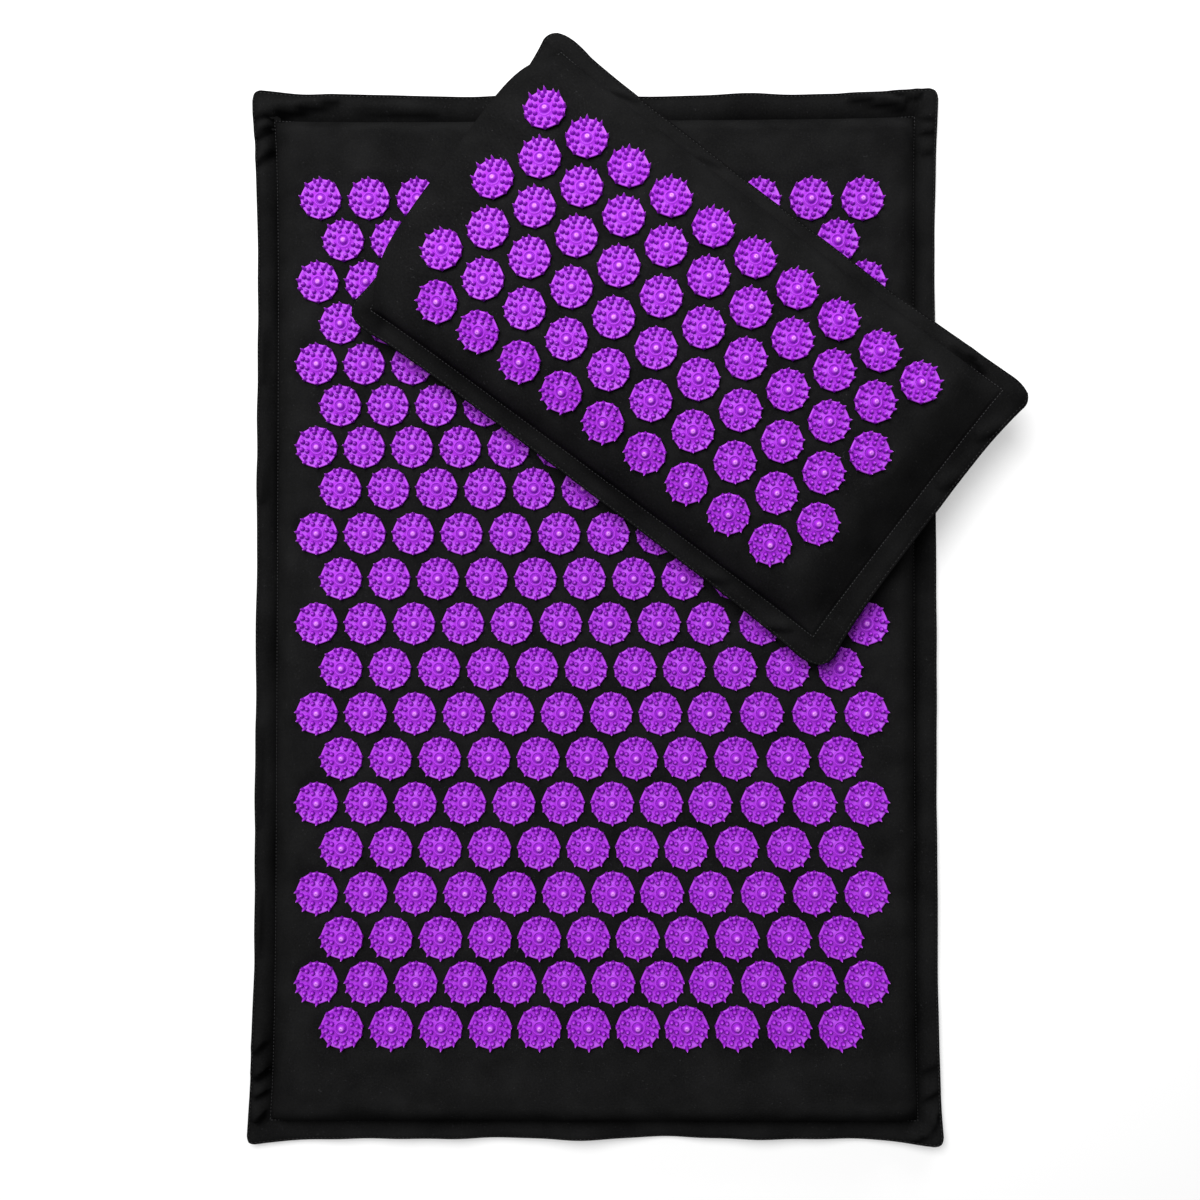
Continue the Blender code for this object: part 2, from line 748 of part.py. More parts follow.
# A closed zip in its own frame: X along the teeth, the slider at its +X end, zero at the cover's face
def build_zip(prefix, length, parent, location):
    frame = new_empty(prefix + "_zip_frame", parent, location)
    half = length / 2
    for side, label in ((1.0, "upper"), (-1.0, "lower")):
        inner = teeth_outer + gap
        edges = sorted((side * inner, side * (inner + tape_width)))
        name = f"{prefix}_zip_tape_{label}"
        block(name, (-half - tape_end, edges[0], tape_low), (half + tape_end, edges[1], tape_high),
              black_tape(name), frame)
        edges = sorted((side * gap / 2, side * teeth_outer))
        name = f"{prefix}_zip_teeth_{label}"
        block(name, (-half, edges[0], teeth_low), (half, edges[1], tape_high), black_tape(name), frame)
    for side, label in ((1.0, "top"), (-1.0, "bottom")):
        ends = sorted((side * (half + gap), side * (half + gap + stop_length)))
        name = f"{prefix}_zip_{label}_stop"
        block(name, (ends[0], -teeth_outer, teeth_low), (ends[1], teeth_outer, tape_high),
              dark_metal(name), frame)
    rest_x = half - slider_length / 2
    build_slider(prefix, frame, (rest_x, 0.0, 0.0))
    build_pull(prefix, frame, (rest_x + pull_axis_x, 0.0, pull_middle))


clear_scene()
parts = new_collection("acupressure_mat")
cutters = new_collection("acupressure_mat_cutters")
mat_frame = new_empty("mat_frame")
pillow_frame = new_empty("pillow_frame", None, (pillow_x, pillow_y, pillow_floor), pillow_turn)
rosette = disc_template()

build_mat_cover(mat_frame)
build_mat_core(mat_frame)
build_mat_rows(rosette, mat_frame)
build_zip("mat", mat_zip_length, mat_frame, (0.0, mat_zip_y, 0.0))

build_pillow_cover(pillow_frame)
build_pillow_core(pillow_frame)
build_pillow_rows(rosette, pillow_frame)
build_zip("pillow", pillow_zip_length, pillow_frame, (0.0, pillow_zip_y, 0.0))

bpy.data.meshes.remove(rosette)
bpy.context.view_layer.update()

print("mat", round(2 * mat_half_x, 4), round(2 * mat_half_y, 4), "padded top", round(mat_top, 4))
print("pillow", round(2 * pillow_half_x, 4), round(2 * pillow_half_y, 4), "floor", round(pillow_floor, 4))
for item in parts.objects:
    if item.name.endswith(("_slider", "_pull_tab")):
        print(item.name, [round(value, 5) for value in item.matrix_world.translation])
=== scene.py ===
import json
import math

import bmesh
import bpy
import numpy as np
from mathutils import Matrix, Vector

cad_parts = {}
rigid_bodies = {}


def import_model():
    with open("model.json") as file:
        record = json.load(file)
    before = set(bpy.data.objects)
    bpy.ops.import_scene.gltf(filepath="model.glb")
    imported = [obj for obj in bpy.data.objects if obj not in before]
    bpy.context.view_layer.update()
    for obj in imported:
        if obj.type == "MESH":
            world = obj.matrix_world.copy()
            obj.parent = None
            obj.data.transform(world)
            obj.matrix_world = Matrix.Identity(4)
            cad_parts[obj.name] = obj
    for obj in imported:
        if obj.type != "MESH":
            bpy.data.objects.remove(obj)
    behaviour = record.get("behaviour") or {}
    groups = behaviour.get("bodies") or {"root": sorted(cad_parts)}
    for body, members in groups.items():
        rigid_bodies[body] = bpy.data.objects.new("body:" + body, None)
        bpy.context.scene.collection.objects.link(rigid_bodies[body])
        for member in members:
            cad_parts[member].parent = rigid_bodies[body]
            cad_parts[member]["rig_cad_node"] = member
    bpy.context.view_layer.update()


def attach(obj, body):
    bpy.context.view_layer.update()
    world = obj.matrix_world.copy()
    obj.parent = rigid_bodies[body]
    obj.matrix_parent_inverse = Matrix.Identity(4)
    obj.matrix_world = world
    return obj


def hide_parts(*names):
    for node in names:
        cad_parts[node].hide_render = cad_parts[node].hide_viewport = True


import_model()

gap = 0.0003  # air between two pieces
fabric = 0.0008  # cloth of the solids


# Small helpers on arrays
def smoothStep(share):
    share = np.clip(share, 0.0, 1.0)
    return share * share * (3.0 - 2.0 * share)


def rollRise(distance, width):  # a quarter round, from 0 at the start to 1 at the width
    share = np.clip(distance / width, 0.0, 1.0)
    return np.sqrt(1.0 - (1.0 - share) ** 2)


def bell(distance, width):
    return np.exp(-(distance / width) ** 2)


def waveNoise(x, y, seed, size):  # a smooth random field, about -1 to 1
    rng = np.random.default_rng(seed)
    total = np.zeros_like(x, dtype=float)
    draws = rng.uniform(0, math.pi, 7), rng.uniform(0, 6.28, 7), rng.uniform(0.7, 1.6, 7)
    for turn, phase, stretch in zip(*draws):
        along = x * math.cos(turn) + y * math.sin(turn)
        total += np.sin(along * stretch * 6.28 / size + phase)
    return total / 3.5


# Nodes of materials and of geometry
class Wire:  # one output socket, with arithmetic on it
    def __init__(self, nodes, socket):
        self.nodes, self.socket = nodes, socket

    def other(self, name):
        return Wire(self.nodes, self.socket.node.outputs[name])

    def maths(self, operation, *values, clamp=False):
        settings = {"operation": operation, "use_clamp": clamp}
        return self.nodes.add("ShaderNodeMath", settings, dict(enumerate(values)))

    def __add__(self, other):
        return self.maths("ADD", self, other)

    def __sub__(self, other):
        return self.maths("SUBTRACT", self, other)

    def __rsub__(self, other):
        return self.maths("SUBTRACT", other, self)

    def __mul__(self, other):
        return self.maths("MULTIPLY", self, other)

    __radd__, __rmul__ = __add__, __mul__

    def ramp(self, low, high):  # 0 below low, 1 above high
        return self.maths("MULTIPLY", self - low, 1.0 / (high - low), clamp=True)

    def sine(self):
        return self.maths("SINE", self)


class Nodes:
    def __init__(self, tree):
        self.tree = tree

    def add(self, kind, settings=None, values=None, out=0):
        node = self.tree.nodes.new(kind)
        for name, value in (settings or {}).items():
            if name == "stops":
                self.setStops(node.color_ramp, value)
            else:
                setattr(node, name, value)
        for key, value in (values or {}).items():
            if isinstance(value, Wire):
                self.tree.links.new(value.socket, node.inputs[key])
            else:
                node.inputs[key].default_value = value
        return Wire(self, node.outputs[out]) if len(node.outputs) else node

    def setStops(self, ramp, stops):
        while len(ramp.elements) < len(stops):
            ramp.elements.new(0.5)
        for element, (place, color) in zip(ramp.elements, stops):
            element.position = place
            element.color = (*color, 1.0)

    def noise(self, vector, scale, detail=2.0, distortion=0.0):
        values = {"Vector": vector, "Scale": scale, "Detail": detail, "Distortion": distortion}
        return self.add("ShaderNodeTexNoise", None, values, out="Fac")

    def blend(self, share, *colors):  # from the first colour to the second
        first, second = (color if isinstance(color, Wire) else (*color, 1.0) for color in colors)
        return self.add("ShaderNodeMix", {"data_type": "RGBA"}, {0: share, 6: first, 7: second}, out=2)

    def bump(self, strength, distance, height):
        return self.add("ShaderNodeBump", None, {"Strength": strength, "Distance": distance, "Height": height})

    def attribute(self, name):
        return self.add("ShaderNodeAttribute", {"attribute_name": name}, out="Fac")


def newMaterial(name):
    material = bpy.data.materials.new(name)
    material.use_nodes = True
    material.node_tree.nodes.clear()
    return material, Nodes(material.node_tree)


def endMaterial(nodes, values):
    shader = nodes.add("ShaderNodeBsdfPrincipled", None, values)
    nodes.add("ShaderNodeOutputMaterial", None, {"Surface": shader})


# The darkest colour is painted shade, laid on by the shade attribute along seams, hems and folds
cottonLook = {
    "dark": (0.0047, 0.0047, 0.0048), "light": (0.0121, 0.0121, 0.0123), "fluff": (0.030, 0.030, 0.031),
    "paintedShadeColor": (0.0016, 0.0016, 0.0017), "roughness": 1.0, "specular": 0.0, "weavePitch": 0.00075,
    "cloudScale": 38.0, "lintScale": 900.0, "fluffScale": 480.0, "fluffTwist": 2.6, "relief": 0.35,
    "reliefDepth": 0.00012}


def makeCotton(name, look):
    material, nodes = newMaterial(name)
    uv = nodes.add("ShaderNodeUVMap", {"uv_map": "flat"})
    split = nodes.add("ShaderNodeSeparateXYZ", None, {0: uv}, out="X")
    turn = 2.0 * math.pi / look["weavePitch"]
    weave = (split * turn).sine() * (split.other("Y") * turn).sine()
    cloud = nodes.noise(uv, look["cloudScale"], 4.0)
    lint = nodes.noise(uv, look["lintScale"])
    fluff = nodes.noise(uv, look["fluffScale"], distortion=look["fluffTwist"])
    tone = (cloud * 0.55 + lint * 0.35 + weave * 0.10 + 0.05).ramp(0.33, 0.69)
    color = nodes.blend(tone, look["dark"], look["light"])
    color = nodes.blend(fluff.ramp(0.66, 0.80), color, look["fluff"])
    # painted shade along seams, hems and the far sides of folds
    color = nodes.blend(nodes.attribute("shade"), color, look["paintedShadeColor"])
    bump = nodes.bump(look["relief"], look["reliefDepth"], weave * 0.5 + lint * 1.2)
    endMaterial(nodes, {"Base Color": color, "Roughness": look["roughness"], "Normal": bump,
                        "Specular IOR Level": look["specular"]})
    return material


# Purple plastic: main is its own colour; the darker, lighter and tip colours are painted shade, light and
# highlight
plasticLook = {
    "paintedShadeColor": (0.160, 0.001, 0.32), "main": (0.365, 0.021, 0.64), "paintedLitColor": (0.425, 0.064, 0.67),
    "tip": (0.86, 0.42, 0.96), "roughness": 0.50, "polish": 0.26, "specular": 0.30, "cloudScale": 260.0}


def makePlastic(name, look):  # its attribute paints shade in hollows (low) and a highlight on tips (high)
    material, nodes = newMaterial(name)
    depth = nodes.attribute("depth")
    place = nodes.add("ShaderNodeTexCoord", None, None, out="Object")
    cloud = nodes.noise(place, look["cloudScale"])
    # from painted shade in hollows through the plastic's own purple to a painted highlight on tips
    stops = [(0.10, look["paintedShadeColor"]), (0.46, look["main"]), (0.82, look["paintedLitColor"]), (1.0, look["tip"])]
    color = nodes.add("ShaderNodeValToRGB", {"stops": stops}, {0: depth * 0.86 + cloud * 0.14})
    rough = cloud * 0.10 + (look["roughness"] - 0.05) - depth.ramp(0.62, 0.92) * look["polish"]
    endMaterial(nodes, {"Base Color": color, "Roughness": rough, "Normal": nodes.bump(0.15, 0.0002, cloud),
                        "Specular IOR Level": look["specular"]})
    return material


def makePlain(name, color, roughness, metallic=0.0, scale=700.0, relief=0.3, spread=0.35):
    material, nodes = newMaterial(name)
    place = nodes.add("ShaderNodeTexCoord", None, None, out="Object")
    cloud = nodes.noise(place, scale, 3.0)
    low = tuple(value * (1.0 - spread) for value in color)
    high = tuple(min(value * (1.0 + spread), 1.0) for value in color)
    endMaterial(nodes, {"Base Color": nodes.blend(cloud, low, high), "Metallic": metallic,
                        "Roughness": cloud * 0.2 + (roughness - 0.1),
                        "Normal": nodes.bump(relief, 0.0002, cloud)})
    return material


looks = {
    "cotton": makeCotton("blackCotton", cottonLook),
    "plastic": makePlastic("purplePlastic", plasticLook),
    "seam": makePlain("seamThread", (0.016, 0.016, 0.017), 0.6, spread=0.8),
    "hem": makePlain("hemThread", (0.010, 0.010, 0.010), 0.7, spread=0.6),
    "tape": makePlain("zipTape", (0.012, 0.012, 0.014), 0.8),
    "teeth": makePlain("zipTeeth", (0.016, 0.016, 0.018), 0.45, relief=0.1),
    "metal": makePlain("darkMetal", (0.10, 0.10, 0.105), 0.38, metallic=1.0, relief=0.08, spread=0.1),
    "foam": makePlain("greyFoam", (0.30, 0.30, 0.32), 0.95, scale=900.0, relief=0.6, spread=0.15),
}
print("materials ready")


# Making and finishing pieces
def addObject(name, data):
    item = bpy.data.objects.new(name, data)
    bpy.context.scene.collection.objects.link(item)
    return item


def hiddenShape(name, mesh):  # a shape that the trees copy
    item = addObject(name, mesh)
    item.hide_render = True
    return item


def finishPiece(name, mesh, look, body, node=None):
    item = addObject(name, mesh)
    if not mesh.materials:
        mesh.materials.append(looks[look])
    mesh.shade_smooth()
    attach(item, body)
    if node:
        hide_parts(node)
    return item


def meshFrom(bm, name):
    mesh = bpy.data.meshes.new(name)
    bm.to_mesh(mesh)
    bm.free()
    return mesh


# A closed shell between two faces given as grids of points. The cells that keep leaves out are a window in it.
def shellMesh(name, outer, inner, faceUp=True, keep=None, plan=None, shade=None):
    rows, columns = outer.shape[:2]
    cells = np.ones((rows - 1, columns - 1), bool) if keep is None else keep
    count = rows * columns
    number = np.arange(count).reshape(rows, columns)
    a, b, c, d = number[:-1, :-1][cells], number[:-1, 1:][cells], number[1:, 1:][cells], number[1:, :-1][cells]
    faces = [np.stack([a, b, c, d], -1), np.stack([a, d, c, b], -1) + count]
    padded = np.pad(cells, 1)
    for down, over, p, q in ((0, 1, a, b), (2, 1, c, d), (1, 0, d, a), (1, 2, b, c)):
        bare = ~padded[down:down + rows - 1, over:over + columns - 1][cells]
        faces.append(np.stack([q, p, p + count, q + count], -1)[bare])
    faces = np.concatenate(faces)
    if not faceUp:
        faces = faces[:, ::-1]
    used, corners = np.unique(faces, return_inverse=True)
    mesh = bpy.data.meshes.new(name)
    points = np.concatenate([outer.reshape(-1, 3), inner.reshape(-1, 3)])[used]
    mesh.from_pydata(points.tolist(), [], corners.reshape(-1, 4).tolist())
    if plan is not None:
        flat = np.stack([np.concatenate([axis.ravel()] * 2)[used][corners.ravel()] for axis in plan], -1)
        mesh.uv_layers.new(name="flat").data.foreach_set("uv", flat.astype(np.float32).ravel())
    if shade is not None:
        layer = mesh.attributes.new("shade", "FLOAT", "POINT")
        layer.data.foreach_set("value", np.concatenate([shade.ravel()] * 2)[used].astype(np.float32))
    mesh.update()
    return mesh


# Grid lines from -half to half, with extra ones at given insets from both ends and finer cells next to them
def gridLines(half, insets, cell, fineCell=0.002, fineReach=0.0):
    insets = insets + np.arange(insets[-1] + fineCell, fineReach, fineCell).tolist()
    inner = half - insets[-1]
    steps = max(2, round(2 * inner / cell))
    middle = np.linspace(-inner, inner, steps + 1)[1:-1]
    low = [inset - half for inset in insets]
    return np.array(low + middle.tolist() + [-value for value in reversed(low)])


def withLines(lines, extra, room):  # puts exact lines into a grid, dropping those too close to them
    kept = [value for value in lines if min(abs(value - place) for place in extra) > room]
    return np.array(sorted(kept + list(extra)))


# What both covers share. The cloth thins to a share of itself at its edge, and hold is how far into the pad
# a seam's bend reaches. The window is the zip's: half its width, the room past each end and its channel.
coverLook = {
    "cloth": 0.0006, "edgeShare": 0.3, "edgeReach": 0.0014, "hold": 0.030, "hemGroove": 0.0005,
    "seamGroove": 0.0009, "sideBlend": 0.006, "tiltPower": 1.9, "levelWidth": 0.05, "foldGain": 1.6,
    "foldSkew": 0.25, "foldSkewWidth": 0.001, "foldLimit": 0.0060, "creaseStart": 0.0004,
    "creaseRise": 0.0035, "creaseFull": 0.007, "hemCrease": 0.35, "seamShadeWidths": (0.0048, 0.0010),
    "hemShadeWidth": 0.0020, "shadeSeed": 41, "foldShade": 0.75, "foldShadeStep": (-0.0016, 0.0024),
    "foldShadeDrop": 0.0022, "swellFrom": 0.0128, "swellWidth": 0.005,
    "pressFrom": 0.0105, "pressWidth": 0.004, "windowHalf": 0.00495, "windowEnd": 0.006,
    "windowClear": 0.009, "windowFade": 0.010, "windowLift": 0.0035, "foamLift": 0.0046, "foamSpare": 0.006,
    "foamCell": 0.006,
    "edgeLines": [0.0, 0.0003, 0.0007, 0.0012, 0.0017, 0.0026, 0.0048, 0.0075, 0.0100, 0.0120, 0.0130,
                  0.0135, 0.0137, 0.0141, 0.0148, 0.0158, 0.0172],
    "backLines": [0.0, 0.0003, 0.0007, 0.0012, 0.0017, 0.0028, 0.0060, 0.0100]}


def edgeDistance(x, y, look):
    return np.minimum(look["half"][0] - np.abs(x), look["half"][1] - np.abs(y))


def seamHalf(look, inset=0.0):
    return [half - look["flange"] - inset for half in look["half"]]


def padRoll(x, y, look, width, inset=0.0):  # 0 at the seam, rising to 1 over the pad
    halfX, halfY = seamHalf(look, inset)
    return rollRise(halfX - np.abs(x), width) * rollRise(halfY - np.abs(y), width)


# A cover in plan: its grid is moved so that the seam and the outer edge run along the lines of its sides
def sideLine(look, side, kind, along):
    first, middle, last = look["sides"][side][kind]
    ends = first + (last - first) * (along + 1.0) / 2.0
    return ends + (middle - (first + last) / 2.0) * (1.0 - np.abs(along) ** look["power"])


def spreadAxis(look, value, half, low, high, along):
    seam = half - look["flange"]
    beyond = np.clip((np.abs(value) - seam) / look["flange"], 0.0, 1.0)
    held = smoothStep((np.abs(value) - seam + coverLook["hold"]) / coverLook["hold"])
    moves = []
    for kind, line in (("seam", seam), ("edge", half)):
        lower, upper = (sideLine(look, side, kind, along) for side in (low, high))
        moves.append(np.where(value < 0, lower + line, upper - line))
    return value + moves[0] * held * (1.0 - beyond) + moves[1] * beyond


def spreadPlan(look, x, y):
    halfX, halfY = look["half"]
    r = look["corner"]
    a = np.clip((np.abs(x) - halfX + r) / r, 0.0, 1.0)
    b = np.clip((np.abs(y) - halfY + r) / r, 0.0, 1.0)
    both = (a > 0) & (b > 0)
    roundX = np.where(both, (halfX - r + r * a * np.sqrt(1.0 - b * b / 2.0)) * np.sign(x), x)
    roundY = np.where(both, (halfY - r + r * b * np.sqrt(1.0 - a * a / 2.0)) * np.sign(y), y)
    return (spreadAxis(look, roundX, halfX, "left", "right", np.clip(roundY / halfY, -1, 1)),
            spreadAxis(look, roundY, halfY, "bottom", "top", np.clip(roundX / halfX, -1, 1)))


def foldHeight(x, y, folds):  # steeper on the side towards the lower right
    total = np.zeros_like(x)
    for (cornerX, cornerY), lines in folds.items():
        for x0, y0, x1, y1, height, width in lines:
            ax, ay = cornerX + x0 / 1000, cornerY + y0 / 1000
            bx, by = (x1 - x0) / 1000, (y1 - y0) / 1000
            share = np.clip(((x - ax) * bx + (y - ay) * by) / (bx * bx + by * by), 0, 1)
            dx, dy = x - ax - share * bx, y - ay - share * by
            side = 1.0 + coverLook["foldSkew"] * np.tanh((dy - dx) / coverLook["foldSkewWidth"])
            fade = np.sqrt(np.clip(4.0 * share * (1.0 - share), 0.0, 1.0))
            total += fade * height / 1000 * bell(np.hypot(dx, dy), width * side / 1000)
    return coverLook["foldGain"] * total


def bySide(x, y, look, values):  # one value for each side, blended round the corners
    halfX, halfY = look["half"]
    near = [np.exp(-far / coverLook["sideBlend"]) for far in (x + halfX, halfX - x, y + halfY, halfY - y)]
    return sum(value * share for value, share in zip(values, near)) / np.maximum(sum(near), 1e-12)


def sewingWave(x, y, seed):  # unevenness along a flange
    wave = 1.0 + 0.50 * waveNoise(x, y, seed, 0.11) + 0.28 * waveNoise(x, y, seed + 1, 0.045)
    return np.clip(wave, 0.15, 1.9)


# Painted shade: darker cloth along the seam, on its outer side, along the hem, and on the far side of each fold
def sewingShade(x, y, look, outX, outY, folds):
    both = coverLook
    edge = edgeDistance(x, y, look)
    beyond = look["flange"] - edge
    seam = bell(beyond, np.where(beyond > 0, *both["seamShadeWidths"])) * bySide(x, y, look, look["seamShade"])
    seam *= sewingWave(x, y, both["shadeSeed"])
    hem = bell(edge, both["hemShadeWidth"]) * bySide(x, y, look, look["hemShade"])
    stepX, stepY = both["foldShadeStep"]
    behind = foldHeight(outX + stepX, outY + stepY, folds) - foldHeight(outX, outY, folds)
    fold = both["foldShade"] * np.clip(behind / both["foldShadeDrop"], 0.0, 1.0) * (beyond > 0)
    return np.clip(seam + hem + fold, 0.0, 1.0)


# Height of the flange's outer face over its middle plane
def flangeFace(edge, look, fullness):
    curl = rollRise(edge, look["curl"])
    inside = edge - look["stitchInset"]
    across = np.clip(inside / (look["flange"] - look["stitchInset"]), 0, 1)
    puff = look["puff"] * fullness * np.sin(across ** 0.9 * math.pi)
    groove = bell(inside, coverLook["hemGroove"]) + bell(edge - look["flange"], coverLook["seamGroove"])
    return (fabric + gap / 2) * curl + puff - look["groove"] * groove * curl


# How far the whole flange is turned up or down, with its folds. The upper side's hangs less near its right end.
def flangeLift(x, y, outX, outY, look, folds):
    both = coverLook
    edge = edgeDistance(x, y, look)
    outward = np.clip((look["flange"] - edge) / look["flange"], 0.0, 1.0)
    level = 1.0 - smoothStep((x - look["levelFrom"]) / both["levelWidth"])
    *tilts, top = look["tilts"]
    tilt = bySide(x, y, look, (*tilts, top * level)) * (1.0 - (1.0 - outward) ** both["tiltPower"])
    tilt *= 1.0 + look["tiltWave"] * (sewingWave(x, y, look["seeds"]["tilt"]) - 1.0)
    crease = smoothStep((look["flange"] - both["creaseStart"] - edge) / both["creaseRise"])
    crease *= both["hemCrease"] + (1.0 - both["hemCrease"]) * smoothStep(edge / both["creaseFull"])
    fold = np.clip(foldHeight(outX, outY, folds), 0.0, both["foldLimit"])
    return np.maximum(tilt + crease * fold, look["lowest"])


# What a top face has over its pad's plain shape: puckers between the discs, a dent under each, and the flange
def topRelief(x, y, outX, outY, look, roll, spots, folds):
    both, seeds = coverLook, look["seeds"]
    far = np.full(x.shape, 1.0)
    for px, py in spots:
        far = np.minimum(far, np.hypot(x - px, y - py))
    height = look["pucker"] * (1.0 + 0.35 * waveNoise(x, y, seeds["pucker"], 0.03))
    height = height + look["ripple"] * waveNoise(x, y, seeds["ripple"], 0.035)
    height *= smoothStep((far - both["swellFrom"]) / both["swellWidth"]) * roll
    height -= look["press"] * (1.0 - smoothStep((far - both["pressFrom"]) / both["pressWidth"]))
    height += flangeFace(edgeDistance(x, y, look), look, sewingWave(x, y, seeds["flange"]))
    return height + flangeLift(x, y, outX, outY, look, folds)


def zipWindow(look):  # half sizes of the opening in a back panel
    return look["zipLength"] / 2 + coverLook["windowEnd"], coverLook["windowHalf"]


def channelShare(x, y, look, spare=0.0):  # 1 over the zip, falling to 0 round it
    halfX, halfY = zipWindow(look)
    clear, fade = coverLook["windowClear"] + spare, coverLook["windowFade"]
    across, along = np.abs(y - look["zipY"]) - halfY - clear, np.abs(x) - halfX - clear
    return (1.0 - smoothStep(across / fade)) * (1.0 - smoothStep(along / fade))


def backGrid(look, room=0.0015):  # the plan of a back panel, with the zip's window left out
    halfX, halfY = zipWindow(look)
    middle = look["zipY"]
    linesX, linesY = (gridLines(half, coverLook["backLines"] + look["backLines"], look["backCell"])
                      for half in look["half"])
    x, y = np.meshgrid(withLines(linesX, (-halfX, halfX), room),
                       withLines(linesY, (middle - halfY, middle + halfY), room))
    middleX, middleY = (x[:-1, :-1] + x[1:, 1:]) / 2, (y[:-1, :-1] + y[1:, 1:]) / 2
    return x, y, ~((np.abs(middleX) < halfX) & (np.abs(middleY - middle) < halfY))


# One panel of a cover: a sheet with a thickness, the outer face given and the inner one a little inside it
def buildPanel(body, side, look, x, y, outer, keep=None, shade=None):
    upward = side == "Top"
    name = f"{body}{side}Cloth"
    normal = np.cross(np.gradient(outer, axis=1), np.gradient(outer, axis=0))
    normal = normal / np.maximum(np.linalg.norm(normal, axis=2, keepdims=True), 1e-12)
    thin = coverLook["edgeShare"]
    full = rollRise(edgeDistance(x, y, look), coverLook["edgeReach"])
    thickness = coverLook["cloth"] * (thin + (1.0 - thin) * full)
    inner = outer - (normal if upward else -normal) * thickness[..., None]
    mesh = shellMesh(name, outer, inner, upward, keep, (x, y), shade)
    item = finishPiece(name, mesh, "cotton", body, f"{body}_{side.lower()}_panel")


# Both panels of a cover, with their stitches. The faces are rules that give points from a plan.
def buildCover(body, look, place, folds, topFace, backFace):
    buildStitches(body, "Top", topFace, look)
    buildStitches(body, "Back", backFace, look)
    insets = coverLook["edgeLines"] + look["lines"]
    x, y = np.meshgrid(*(gridLines(half, insets, look["cell"], look["fineCell"], look["fineReach"])
                         for half in look["half"]))
    shade = sewingShade(x, y, look, *place(x, y)[:2], folds)
    buildPanel(body, "Top", look, x, y, topFace(x, y), shade=shade)
    x, y, keep = backGrid(look)
    buildPanel(body, "Back", look, x, y, backFace(x, y), keep)


def foamPlan(look):
    halves = seamHalf(look, look["foamInset"])
    return np.meshgrid(*(gridLines(half, look["foamLines"], coverLook["foamCell"]) for half in halves))


def buildFoam(body, faces):
    name = f"{body}Foam"
    item = finishPiece(name, shellMesh(name, *faces), "foam", body, f"{body}_foam_core")


# The mat. Tilts and shades stand for the left, right, lower and upper side. Each side has its seam and outer
# edge, as the value at the low end, in the middle and at the high end.
matLook = {
    "half": (0.2100, 0.32254), "flange": 0.0135, "plane": 0.00095, "rise": 0.0201, "roll": 0.016,
    "rollPower": 1.35, "corner": 0.006, "power": 6, "curl": 0.0008, "puff": 0.0007, "stitchInset": 0.0012,
    "groove": 0.0006, "pucker": 0.0013, "ripple": 0.0004, "press": 0.0, "tiltWave": 1.0, "levelFrom": 1.0,
    "lowest": 0.0, "tilts": (0.0036, 0.0022, 0.0058, 0.0034), "seamShade": (0.50, 0.30, 0.0, 0.30),
    "hemShade": (0.70, 0.10, 0.0, 0.75), "seeds": {"flange": 3, "pucker": 5, "ripple": 21, "tilt": 31},
    "zipY": 0.26904, "zipLength": 0.300, "flat": {"Top": (0.432, 0.660), "Back": (0.4205, 0.6455)},
    "cell": 0.0029, "fineCell": 0.0018, "fineReach": 0.062, "lines": [0.0192, 0.0215, 0.0240, 0.0265, 0.0295],
    "backCell": 0.0045, "backLines": [0.0135],
    "foamInset": 0.0024, "foamOver": 0.0013, "foamUnder": 0.0004, "foamSide": 0.0028, "foamThin": 0.0010,
    "foamLines": [0.0, 0.0004, 0.0012, 0.0026, 0.0050, 0.0090, 0.0130],
    "sides": {"left": {"seam": (-0.1976, -0.1925, -0.1948), "edge": (-0.2113, -0.2051, -0.2077)},
              "right": {"seam": (0.1959, 0.1932, 0.1937), "edge": (0.2112, 0.2068, 0.2085)},
              "bottom": {"seam": (-0.3051, -0.3048, -0.3056), "edge": (-0.3201, -0.3149, -0.3205)},
              "top": {"seam": (0.3010, 0.3003, 0.3040), "edge": (0.3192, 0.3157, 0.3212)}}}
# Folds in the flange: crest lines in millimetres from a corner of the seam, then height and width
matFolds = {
    (-0.1948, 0.3005): [(-14, 3, 40, 13, 3.8, 3.4), (-12, -10, 0, -1, 3.0, 2.5),
                        (-12, -26, 0, -15, 2.6, 3.0), (46, 8, 100, 6, 1.6, 3.0),
                        (-7, -123, -7, -159, 1.8, 3.2), (-7, -206, -7, -230, 1.8, 3.2)],
    (0.1937, 0.3044): [(-44, 12, -6, 6, 3.5, 3.0), (-17, 15, -3, 12, 2.0, 2.0), (-3, 10, 3, 15, 2.5, 2.2),
                       (1, -9, 11, -9, 2.2, 2.4), (2, -21, 10, -21, 1.5, 3.0), (3, -1, 11, -1, 1.3, 2.0)],
    (-0.1976, -0.3051): [(-10, 43, -2, 52, 2.6, 3.0), (-10, 27, 0, 35, 3.8, 3.0), (-10, 16, -1, 21, 2.4, 2.5),
                         (-8, 0, -4, 9, 3.4, 2.5), (-7, 244, -7, 178, 1.8, 3.2), (-7, 140, -7, 99, 1.8, 3.2)],
    (0.1959, -0.3056): [(-1, 31, 12, 38, 1.2, 3.0), (0, 14, 13, 22, 1.6, 3.0), (11, 9, 7, -4, 2.0, 2.5),
                        (7, -4, -7, -9, 1.8, 2.5)]}
discPlan = {
    "pitch": 0.02903, "outerPitch": 0.03096, "firstX": -0.16455, "columns": 12, "outerColumns": 3,
    "firstY": 0.24807, "upperStep": 0.02458, "upperSteps": 7, "lowerStep": 0.026574, "lowerSteps": 12,
    "bow": 0.0012, "bowLimit": 2.4, "straightSteps": 7, "pinch": 0.0023, "pinchSteps": 3, "small": 0.955,
    "large": 1.06, "topDrop": 0.0006, "topRows": 4}


